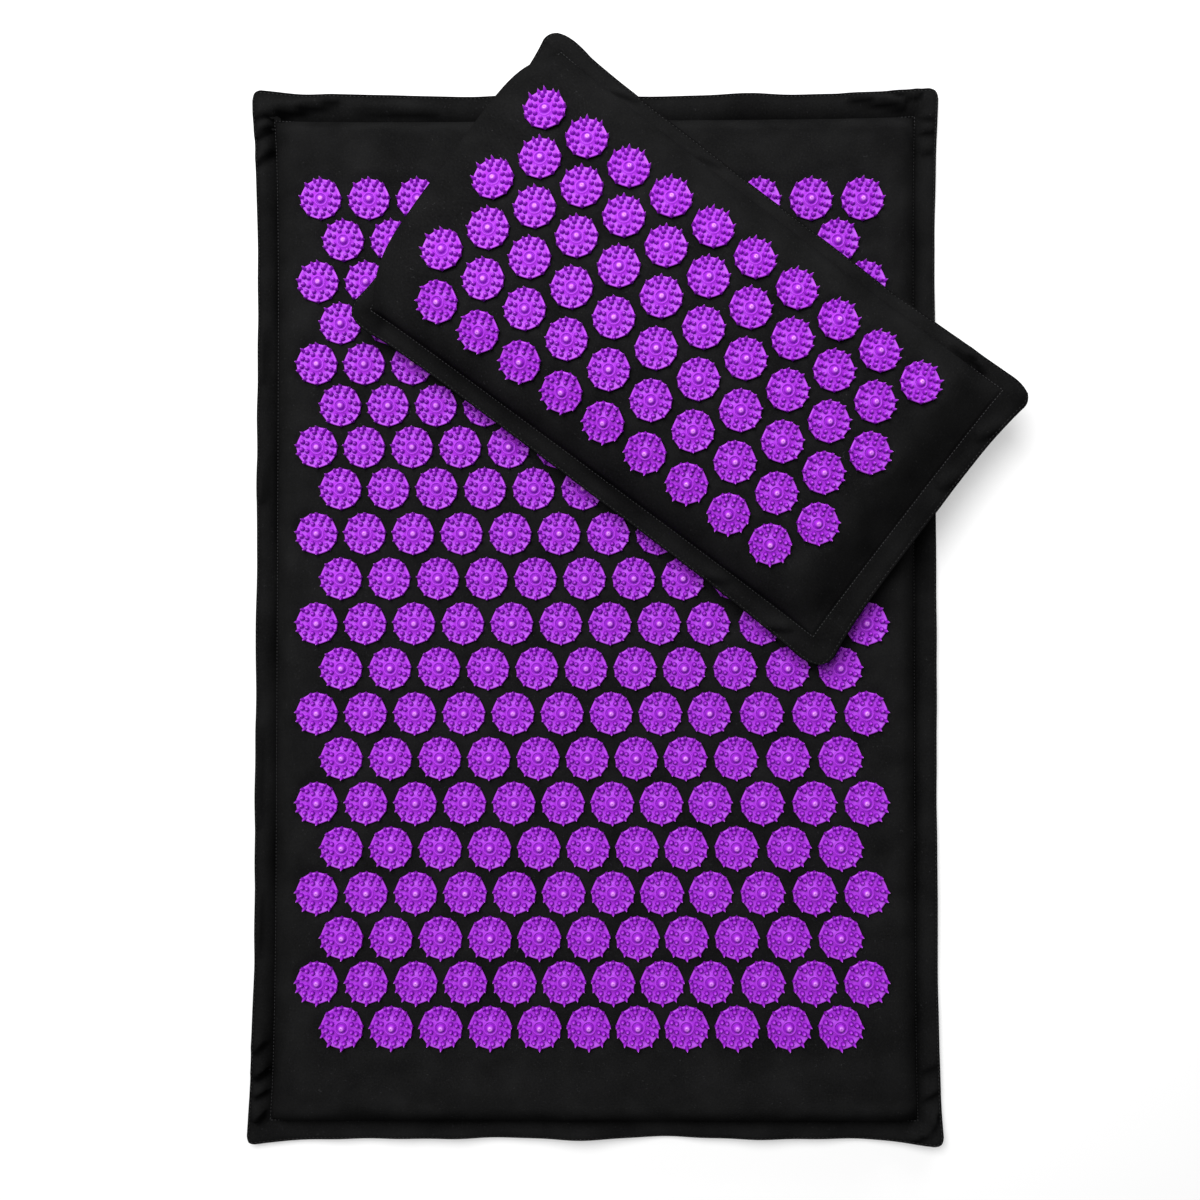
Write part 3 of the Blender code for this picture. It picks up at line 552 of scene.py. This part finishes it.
def matDiscPlaces(plan):
    columns = [plan["firstX"]]
    for step in range(plan["columns"] - 1):
        wide = step >= plan["columns"] - 1 - plan["outerColumns"]
        columns.append(columns[-1] + plan["outerPitch" if wide else "pitch"])
    between = [(left + right) / 2 for left, right in zip(columns, columns[1:])]
    rows = []
    y = plan["firstY"]
    last = plan["upperSteps"] + plan["lowerSteps"]
    for number in range(1 + last):
        topShare = max(1.0 - number / plan["pinchSteps"], 0.0)  # the top rows are drawn in at both ends instead
        bow = plan["bow"] * max(1.0 - ((last - number) / plan["straightSteps"]) ** 2, -plan["bowLimit"])
        bow *= 1.0 - topShare
        pinch = plan["pinch"] * topShare
        drop = plan["topDrop"] * (number < plan["topRows"])
        rows.append([(x + bow * (1.0 - (x / plan["firstX"]) ** 2) + pinch * x / plan["firstX"], y - drop)
                     for x in (between if number % 2 else columns)])
        y -= plan["upperStep"] if number < plan["upperSteps"] else plan["lowerStep"]
    return rows


matRows = matDiscPlaces(discPlan)


def matPlace(x, y):
    return spreadPlan(matLook, x, y)


def matTopFace(x, y):
    look = matLook
    outX, outY = matPlace(x, y)
    roll = padRoll(x, y, look, look["roll"]) ** look["rollPower"]
    relief = topRelief(x, y, outX, outY, look, roll, sum(matRows, []), matFolds)
    return np.stack([outX, outY, look["plane"] + look["rise"] * roll + relief], -1)


def matBackFace(x, y):
    look = matLook
    outX, outY = matPlace(x, y)
    curl = rollRise(edgeDistance(x, y, look), look["curl"])
    channel = channelShare(x, y, look)
    height = look["plane"] * (1.0 - curl) + coverLook["windowLift"] * channel
    height += flangeLift(x, y, outX, outY, look, matFolds)
    return np.stack([x + (outX - x) * (1.0 - channel), y + (outY - y) * (1.0 - channel), height], -1)


def buildMatFoam():
    look = matLook
    x, y = foamPlan(look)
    outX, outY = matPlace(x, y)
    roll = padRoll(x, y, look, look["roll"] - look["foamInset"], look["foamInset"])
    low = look["foamOver"] + coverLook["foamLift"] * channelShare(x, y, look, coverLook["foamSpare"])
    full = look["plane"] + look["rise"] - look["foamUnder"]
    high = look["foamSide"] + (full - look["foamSide"]) * roll ** look["rollPower"]
    high = np.maximum(high, low + look["foamThin"])
    buildFoam("mat", [np.stack([outX, outY, height], -1) for height in (high, low)])


# A disc, with one ring of spikes at its rim and two of studs. Shares are of a spike's or stud's height.
# Its tones paint shade at the feet of spikes and studs and a highlight on their tips.
discLook = {
    "segments": 36, "blank": 0.012, "rimSwell": 0.040, "rimReach": 12.0, "rimFrom": 11.3,
    "rim": {"angles": (90, 64, 45.5, 4, -21, -51, -89, -128, -159, 175.6, 135.5, 108),
            "shares": (1.0, 0.72, 1.0, 1.0, 0.95, 1.0, 1.0, 1.0, 0.95, 1.0, 1.0, 0.72),
            "radius": 0.0115, "height": 0.0052, "width": 0.0032, "level": 0.0010, "lean": 12.0},
    "outer": {"angles": [30 * step + 9 for step in range(12)], "shares": [1.0] * 12,
              "radius": 0.00915, "height": 0.0031, "width": 0.0034, "level": 0.0014, "lean": 3.0},
    "inner": {"angles": [45 * step + 22 for step in range(8)], "shares": [1.0] * 8,
              "radius": 0.00630, "height": 0.0027, "width": 0.0031, "level": 0.0014, "lean": 0.0},
    "spike": {"Tip Share": 0.30, "Flare": 1.8, "Sides": 5, "Rings": 5}, "spikeTone": 1.05,
    "stud": {"Tip Share": 0.40, "Flare": 1.1, "Sides": 6, "Rings": 6}, "studTone": 0.95,
    "footTone": 0.10, "middleTone": 0.8, "tonePower": 2.2}
# Its turned profile from the middle outwards, in millimetres: radius and height. Then tones over the radius.
discProfile = [(0.0, 4.50), (0.65, 4.40), (1.25, 4.12), (1.80, 3.55), (2.25, 2.60), (2.50, 1.50), (3.00, 1.15),
               (3.40, 1.95), (3.80, 2.25), (4.20, 1.90), (4.60, 1.10), (7.70, 0.95), (10.6, 1.10), (11.5, 1.75),
               (12.05, 1.60), (12.30, 1.05), (12.15, 0.60), (11.2, 0.30), (11.0, 0.0)]
# the tones over the radius paint shade in the groove round the dome and a highlight on its middle
tonePlaces = (0.0, 1.2, 2.4, 2.9, 3.6, 4.1, 4.8, 10.8, 11.6, 12.1, 12.3)
toneValues = (1.0, 0.95, 0.30, 0.06, 0.58, 0.66, 0.48, 0.58, 0.70, 0.80, 0.46)


def discBase(look):
    bm = bmesh.new()
    depth = bm.verts.layers.float.new("depth")
    middle = bm.verts.new((0.0, 0.0, discProfile[0][1] / 1000))
    middle[depth] = look["middleTone"]
    rings = [[middle] * look["segments"]]
    for radius, height in discProfile[1:]:
        ring = []
        for step in range(look["segments"]):
            angle = 2 * math.pi * step / look["segments"]
            nearest = min(abs((math.degrees(angle) - turn + 180) % 360 - 180) for turn in look["rim"]["angles"])
            swell = 1.0 + look["rimSwell"] * max(0.0, 1.0 - nearest / look["rimReach"]) - look["blank"]
            wide = radius * (swell if radius > look["rimFrom"] else 1.0) / 1000
            vert = bm.verts.new((wide * math.cos(angle), wide * math.sin(angle), height / 1000))
            vert[depth] = np.interp(radius, tonePlaces, toneValues)
            ring.append(vert)
        rings.append(ring)
    for inner, outer in zip(rings, rings[1:]):
        for step in range(look["segments"]):
            after = (step + 1) % look["segments"]
            bm.faces.new(list(dict.fromkeys((inner[step], outer[step], outer[after], inner[after]))))
    bm.faces.new(list(reversed(rings[-1])))
    return meshFrom(bm, "discBase")


def newTree(name, inputs):  # a geometry tree with named inputs
    tree = bpy.data.node_groups.new(name, "GeometryNodeTree")
    for label, kind in {"Geometry": "Geometry", **inputs}.items():
        tree.interface.new_socket(label, in_out="INPUT", socket_type="NodeSocket" + kind)
    tree.interface.new_socket("Geometry", in_out="OUTPUT", socket_type="NodeSocketGeometry")
    nodes = Nodes(tree)
    return tree, nodes, nodes.add("NodeGroupInput")


# A tree that puts a copy of one object on every point, turned and sized by the point's attributes
def makeScatterTree():
    tree, nodes, given = newTree("scatter", {"Shape": "Object", "Size": "Float", "Finish": "Material"})
    shape = nodes.add("GeometryNodeObjectInfo", None, {"Object": given.other("Shape")}, out="Geometry")
    aim, size = (nodes.add("GeometryNodeInputNamedAttribute", {"data_type": "FLOAT_VECTOR"}, {"Name": label})
                 for label in ("aim", "size"))
    turn = nodes.add("FunctionNodeEulerToRotation", None, {0: aim})
    scaled = nodes.add("ShaderNodeVectorMath", {"operation": "SCALE"}, {0: size, "Scale": given.other("Size")})
    placed = nodes.add("GeometryNodeInstanceOnPoints", None,
                       {"Points": given, "Instance": shape, "Rotation": turn, "Scale": scaled})
    solid = nodes.add("GeometryNodeRealizeInstances", None, {0: placed})
    painted = nodes.add("GeometryNodeSetMaterial", None, {"Geometry": solid, "Material": given.other("Finish")})
    nodes.add("NodeGroupOutput", None, {0: painted})
    return tree


def runTree(name, base, tree, inputs):  # the tree's result on a base mesh, as a plain mesh
    holder = addObject(name + "Maker", base)
    step = holder.modifiers.new("repeat", "NODES")
    step.node_group = tree
    keys = {item.name: item.identifier for item in tree.interface.items_tree if item.in_out == "INPUT"}
    for label, value in inputs.items():
        step[keys[label]] = value
    bpy.context.view_layer.update()
    depsgraph = bpy.context.evaluated_depsgraph_get()
    mesh = bpy.data.meshes.new_from_object(holder.evaluated_get(depsgraph), depsgraph=depsgraph)
    bpy.data.objects.remove(holder, do_unlink=True)
    mesh.name = name
    return mesh


# One mesh of a shape's copies on many points. One turn or one size may serve them all.
def scatter(name, shape, look, places, turns, sizes, size=1.0):
    cloud = bpy.data.meshes.new(name + "Spots")
    cloud.from_pydata(places, [], [])
    for label, values in (("aim", turns), ("size", sizes)):
        values = np.broadcast_to(np.array(values, np.float32), (len(places), 3))
        cloud.attributes.new(label, "FLOAT_VECTOR", "POINT").data.foreach_set("vector", values.ravel())
    mesh = runTree(name, cloud, scatterTree, {"Shape": shape, "Size": size, "Finish": looks[look]})
    for spare in ("aim", "size"):
        if spare in mesh.attributes:
            mesh.attributes.remove(mesh.attributes[spare])
    return mesh


# A stud of unit height and unit base width: flared foot, straight shaft, rounded tip
def makeStudTree():
    inputs = {"Tip Share": "Float", "Flare": "Float", "Sides": "Int", "Rings": "Int"}
    tree, nodes, given = newTree("stud", inputs)
    line = nodes.add("GeometryNodeCurvePrimitiveLine", None, {"Start": (0, 0, 0), "End": (0, 0, 1)})
    line = nodes.add("GeometryNodeResampleCurve", None, {"Curve": line, "Count": given.other("Rings")})
    along = nodes.add("GeometryNodeSplineParameter", None, None, out="Factor")
    tip = given.other("Tip Share")
    flare = along.maths("POWER", 1.0 - along, given.other("Flare"))
    cap = along.maths("SQRT", (1.0 - along) * 3.0 + 0.02, clamp=True)
    wide = (tip + (1.0 - tip) * flare) * cap * 0.5
    ring = nodes.add("GeometryNodeCurvePrimitiveCircle", None,
                     {"Resolution": given.other("Sides"), "Radius": 1.0})
    solid = nodes.add("GeometryNodeCurveToMesh", None, {"Curve": line, "Profile Curve": ring, "Fill Caps": True,
                                                       "Scale": wide})
    nodes.add("NodeGroupOutput", None, {0: solid})
    return tree


def studObject(name, tree, shape, foot, top, power):
    mesh = runTree(name, bpy.data.meshes.new(name + "Seed"), tree, shape)
    bm = bmesh.new()
    bm.from_mesh(mesh)
    bmesh.ops.remove_doubles(bm, verts=bm.verts, dist=0.001)
    bmesh.ops.recalc_face_normals(bm, faces=bm.faces)
    depth = bm.verts.layers.float.new("depth")
    for vert in bm.verts:
        # painted shade at the foot, rising to a painted highlight at the top
        vert[depth] = foot + (top - foot) * vert.co.z ** power
    return hiddenShape(name, meshFrom(bm, name))


def ringPoints(ring):
    places, turns, sizes = [], [], []
    for angle, share in zip(ring["angles"], ring["shares"]):
        turn = math.radians(angle)
        places.append((ring["radius"] * math.cos(turn), ring["radius"] * math.sin(turn), ring["level"]))
        aim = Matrix.Rotation(turn, 3, "Z") @ Matrix.Rotation(math.radians(ring["lean"]), 3, "Y")
        turns.append(tuple(aim.to_euler()))
        sizes.append((ring["width"], ring["width"], ring["height"] * share))
    return places, turns, sizes


def discShape(look):
    tree = makeStudTree()
    tones = look["footTone"], look["tonePower"]
    spike = studObject("spikeShape", tree, look["spike"], tones[0], look["spikeTone"], tones[1])
    stud = studObject("studShape", tree, look["stud"], tones[0], look["studTone"], tones[1])
    studs = [first + second for first, second in zip(ringPoints(look["outer"]), ringPoints(look["inner"]))]
    bm = bmesh.new()
    for mesh in (discBase(look), scatter("discSpikes", spike, "plastic", *ringPoints(look["rim"])),
                 scatter("discStuds", stud, "plastic", *studs)):
        bm.from_mesh(mesh)
    whole = meshFrom(bm, "discShape")
    whole.materials.append(looks["plastic"])
    whole.shade_smooth()
    for spare in (spike, stud):
        bpy.data.objects.remove(spare, do_unlink=True)
    print("one disc has", len(whole.polygons), "faces")
    return hiddenShape("discShape", whole)


def discRow(body, label, places, turns, sizes, size=1.0):
    name = f"{body}DiscRow{label}"
    mesh = scatter(name, disc, "plastic", places, turns, sizes, size)
    finishPiece(name, mesh, "plastic", body, f"{body}_disc_row_{label}")


def buildMatRows(plan):  # the discs grow from the upper left to the lower right
    level = matLook["plane"] + matLook["rise"] + gap / 2 + fabric + gap
    halfX, halfY = matLook["half"]
    for number, row in enumerate(matRows):
        sizes = [[plan["small"] + (plan["large"] - plan["small"]) * (x / halfX - y / halfY + 2.0) / 4.0]
                 for x, y in row]
        discRow("mat", f"{number + 1:02d}", [(x, y, level) for x, y in row], (0, 0, 0), sizes)


# Stitches: a bead of thread repeated at equal steps along closed paths on a cover's face
stitchLook = {
    "size": (0.0015, 0.00045, 0.0005), "seamPitch": 0.0021, "hemPitch": 0.0025, "outset": 0.0005,
    "zipMargin": 0.0022, "sides": 6, "rings": 4, "samples": 500}


def stitchShape(look):
    bm = bmesh.new()
    bmesh.ops.create_uvsphere(bm, u_segments=look["sides"], v_segments=look["rings"], radius=0.5)
    return hiddenShape("stitchShape", meshFrom(bm, "stitchShape"))


def pathSpots(face, halfX, halfY, centreY, pitch, upward):  # places and turns of the stitches round a rectangle
    share = np.arange(stitchLook["samples"])[:, None] / stitchLook["samples"]
    ends = [np.array((x * halfX, centreY + y * halfY)) for x, y in ((-1, -1), (1, -1), (1, 1), (-1, 1))]
    plan = np.concatenate([first + (last - first) * share for first, last in zip(ends, ends[1:] + ends[:1])])
    points = face(plan[:, 0], plan[:, 1])
    inward = face(plan[:, 0] * 0.998, plan[:, 1] * 0.998) - points
    along = np.roll(points, -1, 0) - points
    length = np.linalg.norm(along, axis=1)
    reached = np.cumsum(length)
    count = round(reached[-1] / pitch)
    wanted = (np.arange(count) + 0.5) * reached[-1] / count
    index = np.searchsorted(reached, wanted)
    left = (reached[index] - wanted) / length[index]
    places = points[index] + along[index] * (1.0 - left)[:, None]
    turns = []
    for step, across in zip(along[index], inward[index]):
        forward = Vector(step).normalized()
        normal = forward.cross(Vector(across)).normalized()
        normal = normal if (normal.z > 0) == upward else -normal
        turns.append(tuple(Matrix((forward, normal.cross(forward), normal)).transposed().to_euler()))
    return places.tolist(), turns


def buildStitches(body, side, face, cover):  # seam and hem, and round the zip on a back panel
    look, upward = stitchLook, side == "Top"
    seam = [half + look["outset"] for half in seamHalf(cover)]
    hem = [half - cover["stitchInset"] for half in cover["half"]]
    runs = [("Seam", *seam, 0.0, look["seamPitch"], "seam"), ("Hem", *hem, 0.0, look["hemPitch"], "hem")]
    if not upward:
        window = [half + look["zipMargin"] for half in zipWindow(cover)]
        runs.append(("Zip", *window, cover["zipY"], look["seamPitch"], "seam"))
    for label, halfX, halfY, centreY, pitch, thread in runs:
        name = f"{body}{side}{label}Stitches"
        spots = pathSpots(face, halfX, halfY, centreY, pitch, upward)
        finishPiece(name, scatter(name, stitch, thread, *spots, look["size"]), thread, body)


# Zip teeth: small rounded blocks, those of one side set between those of the other
toothLook = {"pitch": 0.0015, "size": (0.0011, 0.0021, 0.0016), "middle": 0.0012, "level": 0.0042, "edge": 0.2}


def toothShape(look):
    bm = bmesh.new()
    bmesh.ops.create_cube(bm, size=1.0)
    bmesh.ops.bevel(bm, geom=list(bm.edges), offset=look["edge"], segments=1, profile=0.5, affect="EDGES")
    return hiddenShape("toothShape", meshFrom(bm, "toothShape"))


def buildTeeth(body, cover, place):
    look = toothLook
    pitch = look["pitch"]
    for side, label in ((1, "upper"), (-1, "lower")):
        name = f"{body}ZipTeeth{label.title()}"
        start = -cover["zipLength"] / 2 + pitch * (0.75 + side * 0.25)
        y = cover["zipY"] + side * look["middle"]
        spots = [tuple(place @ Vector((start + step * pitch, y, look["level"])))
                 for step in range(int(cover["zipLength"] / pitch) - 1)]
        mesh = scatter(name, tooth, "teeth", spots, tuple(place.to_euler()), look["size"])
        finishPiece(name, mesh, "teeth", body, f"{body}_zip_teeth_{label}")


scatterTree = makeScatterTree()
stitch = stitchShape(stitchLook)
tooth = toothShape(toothLook)

buildCover("mat", matLook, matPlace, matFolds, matTopFace, matBackFace)
buildMatFoam()
disc = discShape(discLook)
buildMatRows(discPlan)
buildTeeth("mat", matLook, Matrix.Identity(4))
print("mat ready")


# The pillow
pillowLook = {
    "place": (0.0495, 0.1592, 0.0303), "turn": math.radians(-36.9), "half": (0.17847, 0.10405),
    "flange": 0.0135, "seamHeight": 0.014, "sideRise": 0.020, "roll": 0.034, "rightSlope": 1.15,
    "crown": 0.015, "drop": 0.01305, "baseRoll": 0.022, "corner": 0.013, "power": 4, "tuck": 0.0095,
    "tuckPower": 8, "bulge": 0.0150, "bulgePower": 6, "bulgeSkew": 0.6, "curl": 0.0008, "puff": 0.0006,
    "stitchInset": 0.0015, "groove": 0.0005, "pucker": 0.0010, "ripple": 0.0003, "press": 0.0007,
    "tilts": (0.0, -0.0052, -0.0056, -0.0044), "tiltWave": 0.35, "levelFrom": 0.08, "lowest": -0.0095,
    "seamShade": (0.20, 0.32, 0.45, 0.0), "hemShade": (0.20, 0.60, 0.30, 0.50),
    "seeds": {"flange": 12, "pucker": 8, "ripple": 24, "tilt": 35},
    "zipY": -0.0426, "zipLength": 0.200, "flat": {"Top": (0.378, 0.236), "Back": (0.366, 0.220)},
    "cell": 0.0020, "fineCell": 0.0020, "fineReach": 0.0, "lines": [0.0190, 0.0210, 0.0235, 0.0260, 0.0285],
    "backCell": 0.004, "backLines": [0.0130, 0.0135, 0.0139, 0.0150, 0.0170, 0.0200, 0.0240, 0.0280],
    "foamInset": 0.0040, "foamOver": 0.0006, "foamUnder": 0.0012, "foamThin": 0.0008,
    "foamLines": [0.0, 0.0005, 0.0015, 0.0035, 0.0070, 0.0120, 0.0190],
    "sides": {"left": {"seam": (-0.1502, -0.1590, -0.1517), "edge": (-0.1650, -0.1660, -0.1687)},
              "right": {"seam": (0.1630, 0.1628, 0.1654), "edge": (0.1831, 0.1777, 0.1846)},
              "bottom": {"seam": (-0.0930, -0.0900, -0.0901), "edge": (-0.1051, -0.1010, -0.1049)},
              "top": {"seam": (0.0919, 0.0890, 0.0891), "edge": (0.1043, 0.0983, 0.1002)}}}
pillowFolds = {
    (0.1654, 0.0891): [(-32, 8, -15, 2, 2.4, 2.2), (-42, 6, -24, 3, 1.4, 3.0), (12, -14, 4, -30, 1.6, 3.5),
                       (11, -52, 3, -66, 1.4, 4.0)],
    (0.1630, -0.0901): [(-12, -2, -26, -10, 1.6, 3.0), (-58, -2, -74, -9, 1.4, 3.5)],
    (-0.1517, 0.0919): [(30, 1, 48, 8, 1.4, 3.0), (92, 1, 110, 6, 1.2, 3.5)]}
pillowFrame = Matrix.Translation(Vector(pillowLook["place"])) @ Matrix.Rotation(pillowLook["turn"], 4, "Z")
pillowDiscs = {
    "firstX": -0.13587, "firstY": 0.055384, "pitch": 0.02876, "rowPitch": 0.024273, "rows": 6,
    "columns": 10, "turn": math.radians(0.76), "size": 0.945, "seatReach": 0.012265}


def pillowDiscPlaces(plan):
    rows = []
    for number in range(plan["rows"]):
        shift = plan["pitch"] / 2 if number % 2 else 0.0
        row = []
        for step in range(plan["columns"] - number % 2):
            u = plan["firstX"] + shift + step * plan["pitch"]
            v = plan["firstY"] - number * plan["rowPitch"]
            row.append((u * math.cos(plan["turn"]) - v * math.sin(plan["turn"]),
                        u * math.sin(plan["turn"]) + v * math.cos(plan["turn"])))
        rows.append(row)
    return rows


pillowRows = pillowDiscPlaces(pillowDiscs)


def slopeRise(distance, width, slope):  # a rise from 0 to 1 that starts on a slope and ends level
    share = np.clip(distance / width, 0.0, 1.0)
    return slope * share + (3.0 - 2.0 * slope) * share ** 2 + (slope - 2.0) * share ** 3


def pillowRise(x, y, inset=0.0):
    look = pillowLook
    halfX, halfY = seamHalf(look, inset)
    seamX, seamY = seamHalf(look)
    right = slopeRise(halfX - x, look["roll"], look["rightSlope"])
    roll = np.where(x > 0, right, rollRise(halfX + x, look["roll"])) * rollRise(halfY - np.abs(y), look["roll"])
    crown = (1.0 - np.clip(np.abs(x) / seamX, 0, 1) ** 2) * (1.0 - np.clip(np.abs(y) / seamY, 0, 1) ** 2)
    return look["sideRise"] * roll + look["crown"] * crown, roll


def pillowPlace(x, y):  # plan position of the cover, with its left end's bulge and tucked flange
    look = pillowLook
    outX, outY = spreadPlan(look, x, y)
    seamX, seamY = seamHalf(look)
    along = np.clip(np.abs(y) / seamY, 0, 1)
    beyond = np.clip((-x - seamX) / look["flange"], 0.0, 1.0)
    drop = look["tuck"] * beyond * (1.0 - along ** look["tuckPower"])
    inside = np.clip((seamX + x) / look["roll"], 0.0, 1.0)
    bulge = look["bulge"] * np.sin(math.pi * inside ** look["bulgeSkew"]) * (1.0 - along ** look["bulgePower"])
    return outX - bulge * (x < 0), outY, drop


def toPillow(*axes):  # points given in the pillow's own frame, moved to where it lies
    points = np.stack(axes, -1)
    flat = points.reshape(-1, 3)
    flat = np.concatenate([flat, np.ones((len(flat), 1))], 1)
    return (flat @ np.array(pillowFrame).T)[:, :3].reshape(points.shape)


def pillowTopFace(x, y):
    look = pillowLook
    outX, outY, drop = pillowPlace(x, y)
    rise, roll = pillowRise(x, y)
    relief = topRelief(x, y, outX, outY, look, roll, sum(pillowRows, []), pillowFolds)
    return toPillow(outX, outY, look["seamHeight"] - drop + rise + relief)


def pillowBackFace(x, y):
    look = pillowLook
    outX, outY, tuckDrop = pillowPlace(x, y)
    fall = look["drop"] * padRoll(x, y, look, look["baseRoll"])
    edge = edgeDistance(x, y, look)
    height = (look["seamHeight"] - (gap / 2 + fabric) * rollRise(edge, look["curl"]) - fall - tuckDrop
              + coverLook["windowLift"] * channelShare(x, y, look))
    height += flangeLift(x, y, outX, outY, look, pillowFolds)
    level = smoothStep((edge - look["flange"]) / 0.02)
    return toPillow(outX * (1 - level) + x * level, outY * (1 - level) + y * level, height)


def buildPillowFoam():
    look = pillowLook
    inset = look["foamInset"]
    x, y = foamPlan(look)
    outX, outY = pillowPlace(x, y)[:2]
    fall = look["drop"] * padRoll(x, y, look, look["baseRoll"], inset)
    channel = channelShare(x, y, look, coverLook["foamSpare"])
    low = look["seamHeight"] - np.maximum(fall - look["foamUnder"], 0.0) + look["foamOver"]
    low += coverLook["foamLift"] * channel
    high = look["seamHeight"] + pillowRise(x, y, inset)[0] - look["foamUnder"]
    high = np.maximum(high, low + look["foamThin"])
    buildFoam("pillow", [toPillow(outX, outY, height) for height in (high, low)])


# Seat of a disc on the pillow: square to the surface, and turned so that its top points as on the mat
def pillowSeat(u, v, reach):
    def surface(x, y):
        rise = float(pillowRise(np.array(x), np.array(y))[0])
        return pillowFrame @ Vector((x, y, pillowLook["seamHeight"] + rise))

    along = surface(u + reach, v) - surface(u - reach, v)
    across = surface(u, v + reach) - surface(u, v - reach)
    normal = along.cross(across).normalized()
    level = Vector((1, 0, 0))
    level = (level - normal * level.dot(normal)).normalized()
    place = surface(u, v) + normal * (gap / 2 + fabric + gap)
    turn = Matrix((level, normal.cross(level), normal)).transposed()
    return tuple(place), tuple(turn.to_euler())


def buildPillowRows(plan):
    for number, row in enumerate(pillowRows):
        places, turns = zip(*(pillowSeat(u, v, plan["seatReach"]) for u, v in row))
        discRow("pillow", number + 1, places, turns, (1, 1, 1), plan["size"])


buildCover("pillow", pillowLook, pillowPlace, pillowFolds, pillowTopFace, pillowBackFace)
buildPillowFoam()
buildPillowRows(pillowDiscs)
buildTeeth("pillow", pillowLook, pillowFrame)
for spare in (disc, stitch, tooth):
    bpy.data.objects.remove(spare, do_unlink=True)
print("pillow ready")


# Metal and tape of the zips, kept from the model
def repaint(node, material):
    item = next(thing for thing in bpy.data.objects if thing.get("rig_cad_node") == node or thing.name == node)
    item.data.materials.clear()
    item.data.materials.append(material)


for body in ("mat", "pillow"):
    for label in ("upper", "lower"):
        repaint(f"{body}_zip_tape_{label}", looks["tape"])
    for label in ("top_stop", "bottom_stop", "slider", "pull_tab"):
        repaint(f"{body}_zip_{label}", looks["metal"])


# Floor, light and camera
stageLook = {
    "floor": (0.98, 0.98, 0.98), "floorHalf": 4.0, "floorLevel": -0.0004, "floorLift": 0.35,
    "bounce": (0.55, 0.55, 0.55), "ambient": 0.21, "camera": (0.0030, 0.0103, 0.85), "lens": 41.91,
    "sensor": 36.0, "nearest": 0.01}
# the lamps: share of plain level light, size, distance, azimuth and elevation
lampLooks = {"key": (0.95, 1.20, 1.65, 124.0, 63.0), "edge": (0.09, 0.8, 1.5, 62.0, 16.0)}


def addLamp(name, level, size, distance, azimuth, elevation):
    light = bpy.data.lights.new(name, "AREA")
    light.shape = "DISK"
    light.size = size
    azimuth, elevation = math.radians(azimuth), math.radians(elevation)
    toward = Vector((math.cos(azimuth) * math.cos(elevation), math.sin(azimuth) * math.cos(elevation),
                     math.sin(elevation)))
    light.energy = level * 4.0 * math.pi * distance ** 2 / math.sin(elevation)
    lamp = addObject(name, light)
    aim = toward.to_track_quat("Z", "Y").to_matrix().to_4x4()
    lamp.matrix_world = Matrix.Translation(toward * distance) @ aim


def buildFloor(look):  # white to the camera, plain to the light
    mesh = bpy.data.meshes.new("floor")
    wide = look["floorHalf"]
    corners = [(x * wide, y * wide, look["floorLevel"]) for x, y in ((-1, -1), (1, -1), (1, 1), (-1, 1))]
    mesh.from_pydata(corners, [], [(0, 1, 2, 3)])
    material, nodes = newMaterial("floorFinish")
    seen = nodes.add("ShaderNodeLightPath", None, None, out="Is Camera Ray")
    matte, dim = (nodes.add("ShaderNodeBsdfDiffuse", None, {"Color": (*look[tone], 1)})
                  for tone in ("floor", "bounce"))
    white = nodes.add("ShaderNodeEmission", None, {"Color": (1, 1, 1, 1), "Strength": 1.0})
    lifted = nodes.add("ShaderNodeMixShader", None, {0: look["floorLift"], 1: matte, 2: white})
    surface = nodes.add("ShaderNodeMixShader", None, {0: seen, 1: dim, 2: lifted})
    nodes.add("ShaderNodeOutputMaterial", None, {"Surface": surface})
    mesh.materials.append(material)
    addObject("floor", mesh)


def buildWorld(look):
    world = bpy.data.worlds.new("surround")
    bpy.context.scene.world = world
    world.use_nodes = True
    world.node_tree.nodes.clear()
    nodes = Nodes(world.node_tree)
    seen = nodes.add("ShaderNodeLightPath", None, None, out="Is Camera Ray")
    strength = seen * (1.0 - look["ambient"]) + look["ambient"]
    back = nodes.add("ShaderNodeBackground", None, {"Color": (1, 1, 1, 1), "Strength": strength})
    nodes.add("ShaderNodeOutputWorld", None, {"Surface": back})


def buildCamera(look):
    camera = addObject("camera", bpy.data.cameras.new("camera"))
    camera.data.lens = look["lens"]
    camera.data.sensor_width = look["sensor"]
    camera.data.clip_start = look["nearest"]
    camera.location = look["camera"]
    bpy.context.scene.camera = camera
    bpy.context.scene.view_settings.view_transform = "Standard"
    bpy.context.scene.view_settings.look = "None"


buildFloor(stageLook)
buildWorld(stageLook)
for name, values in lampLooks.items():
    addLamp(name, *values)
buildCamera(stageLook)
print("stage ready")
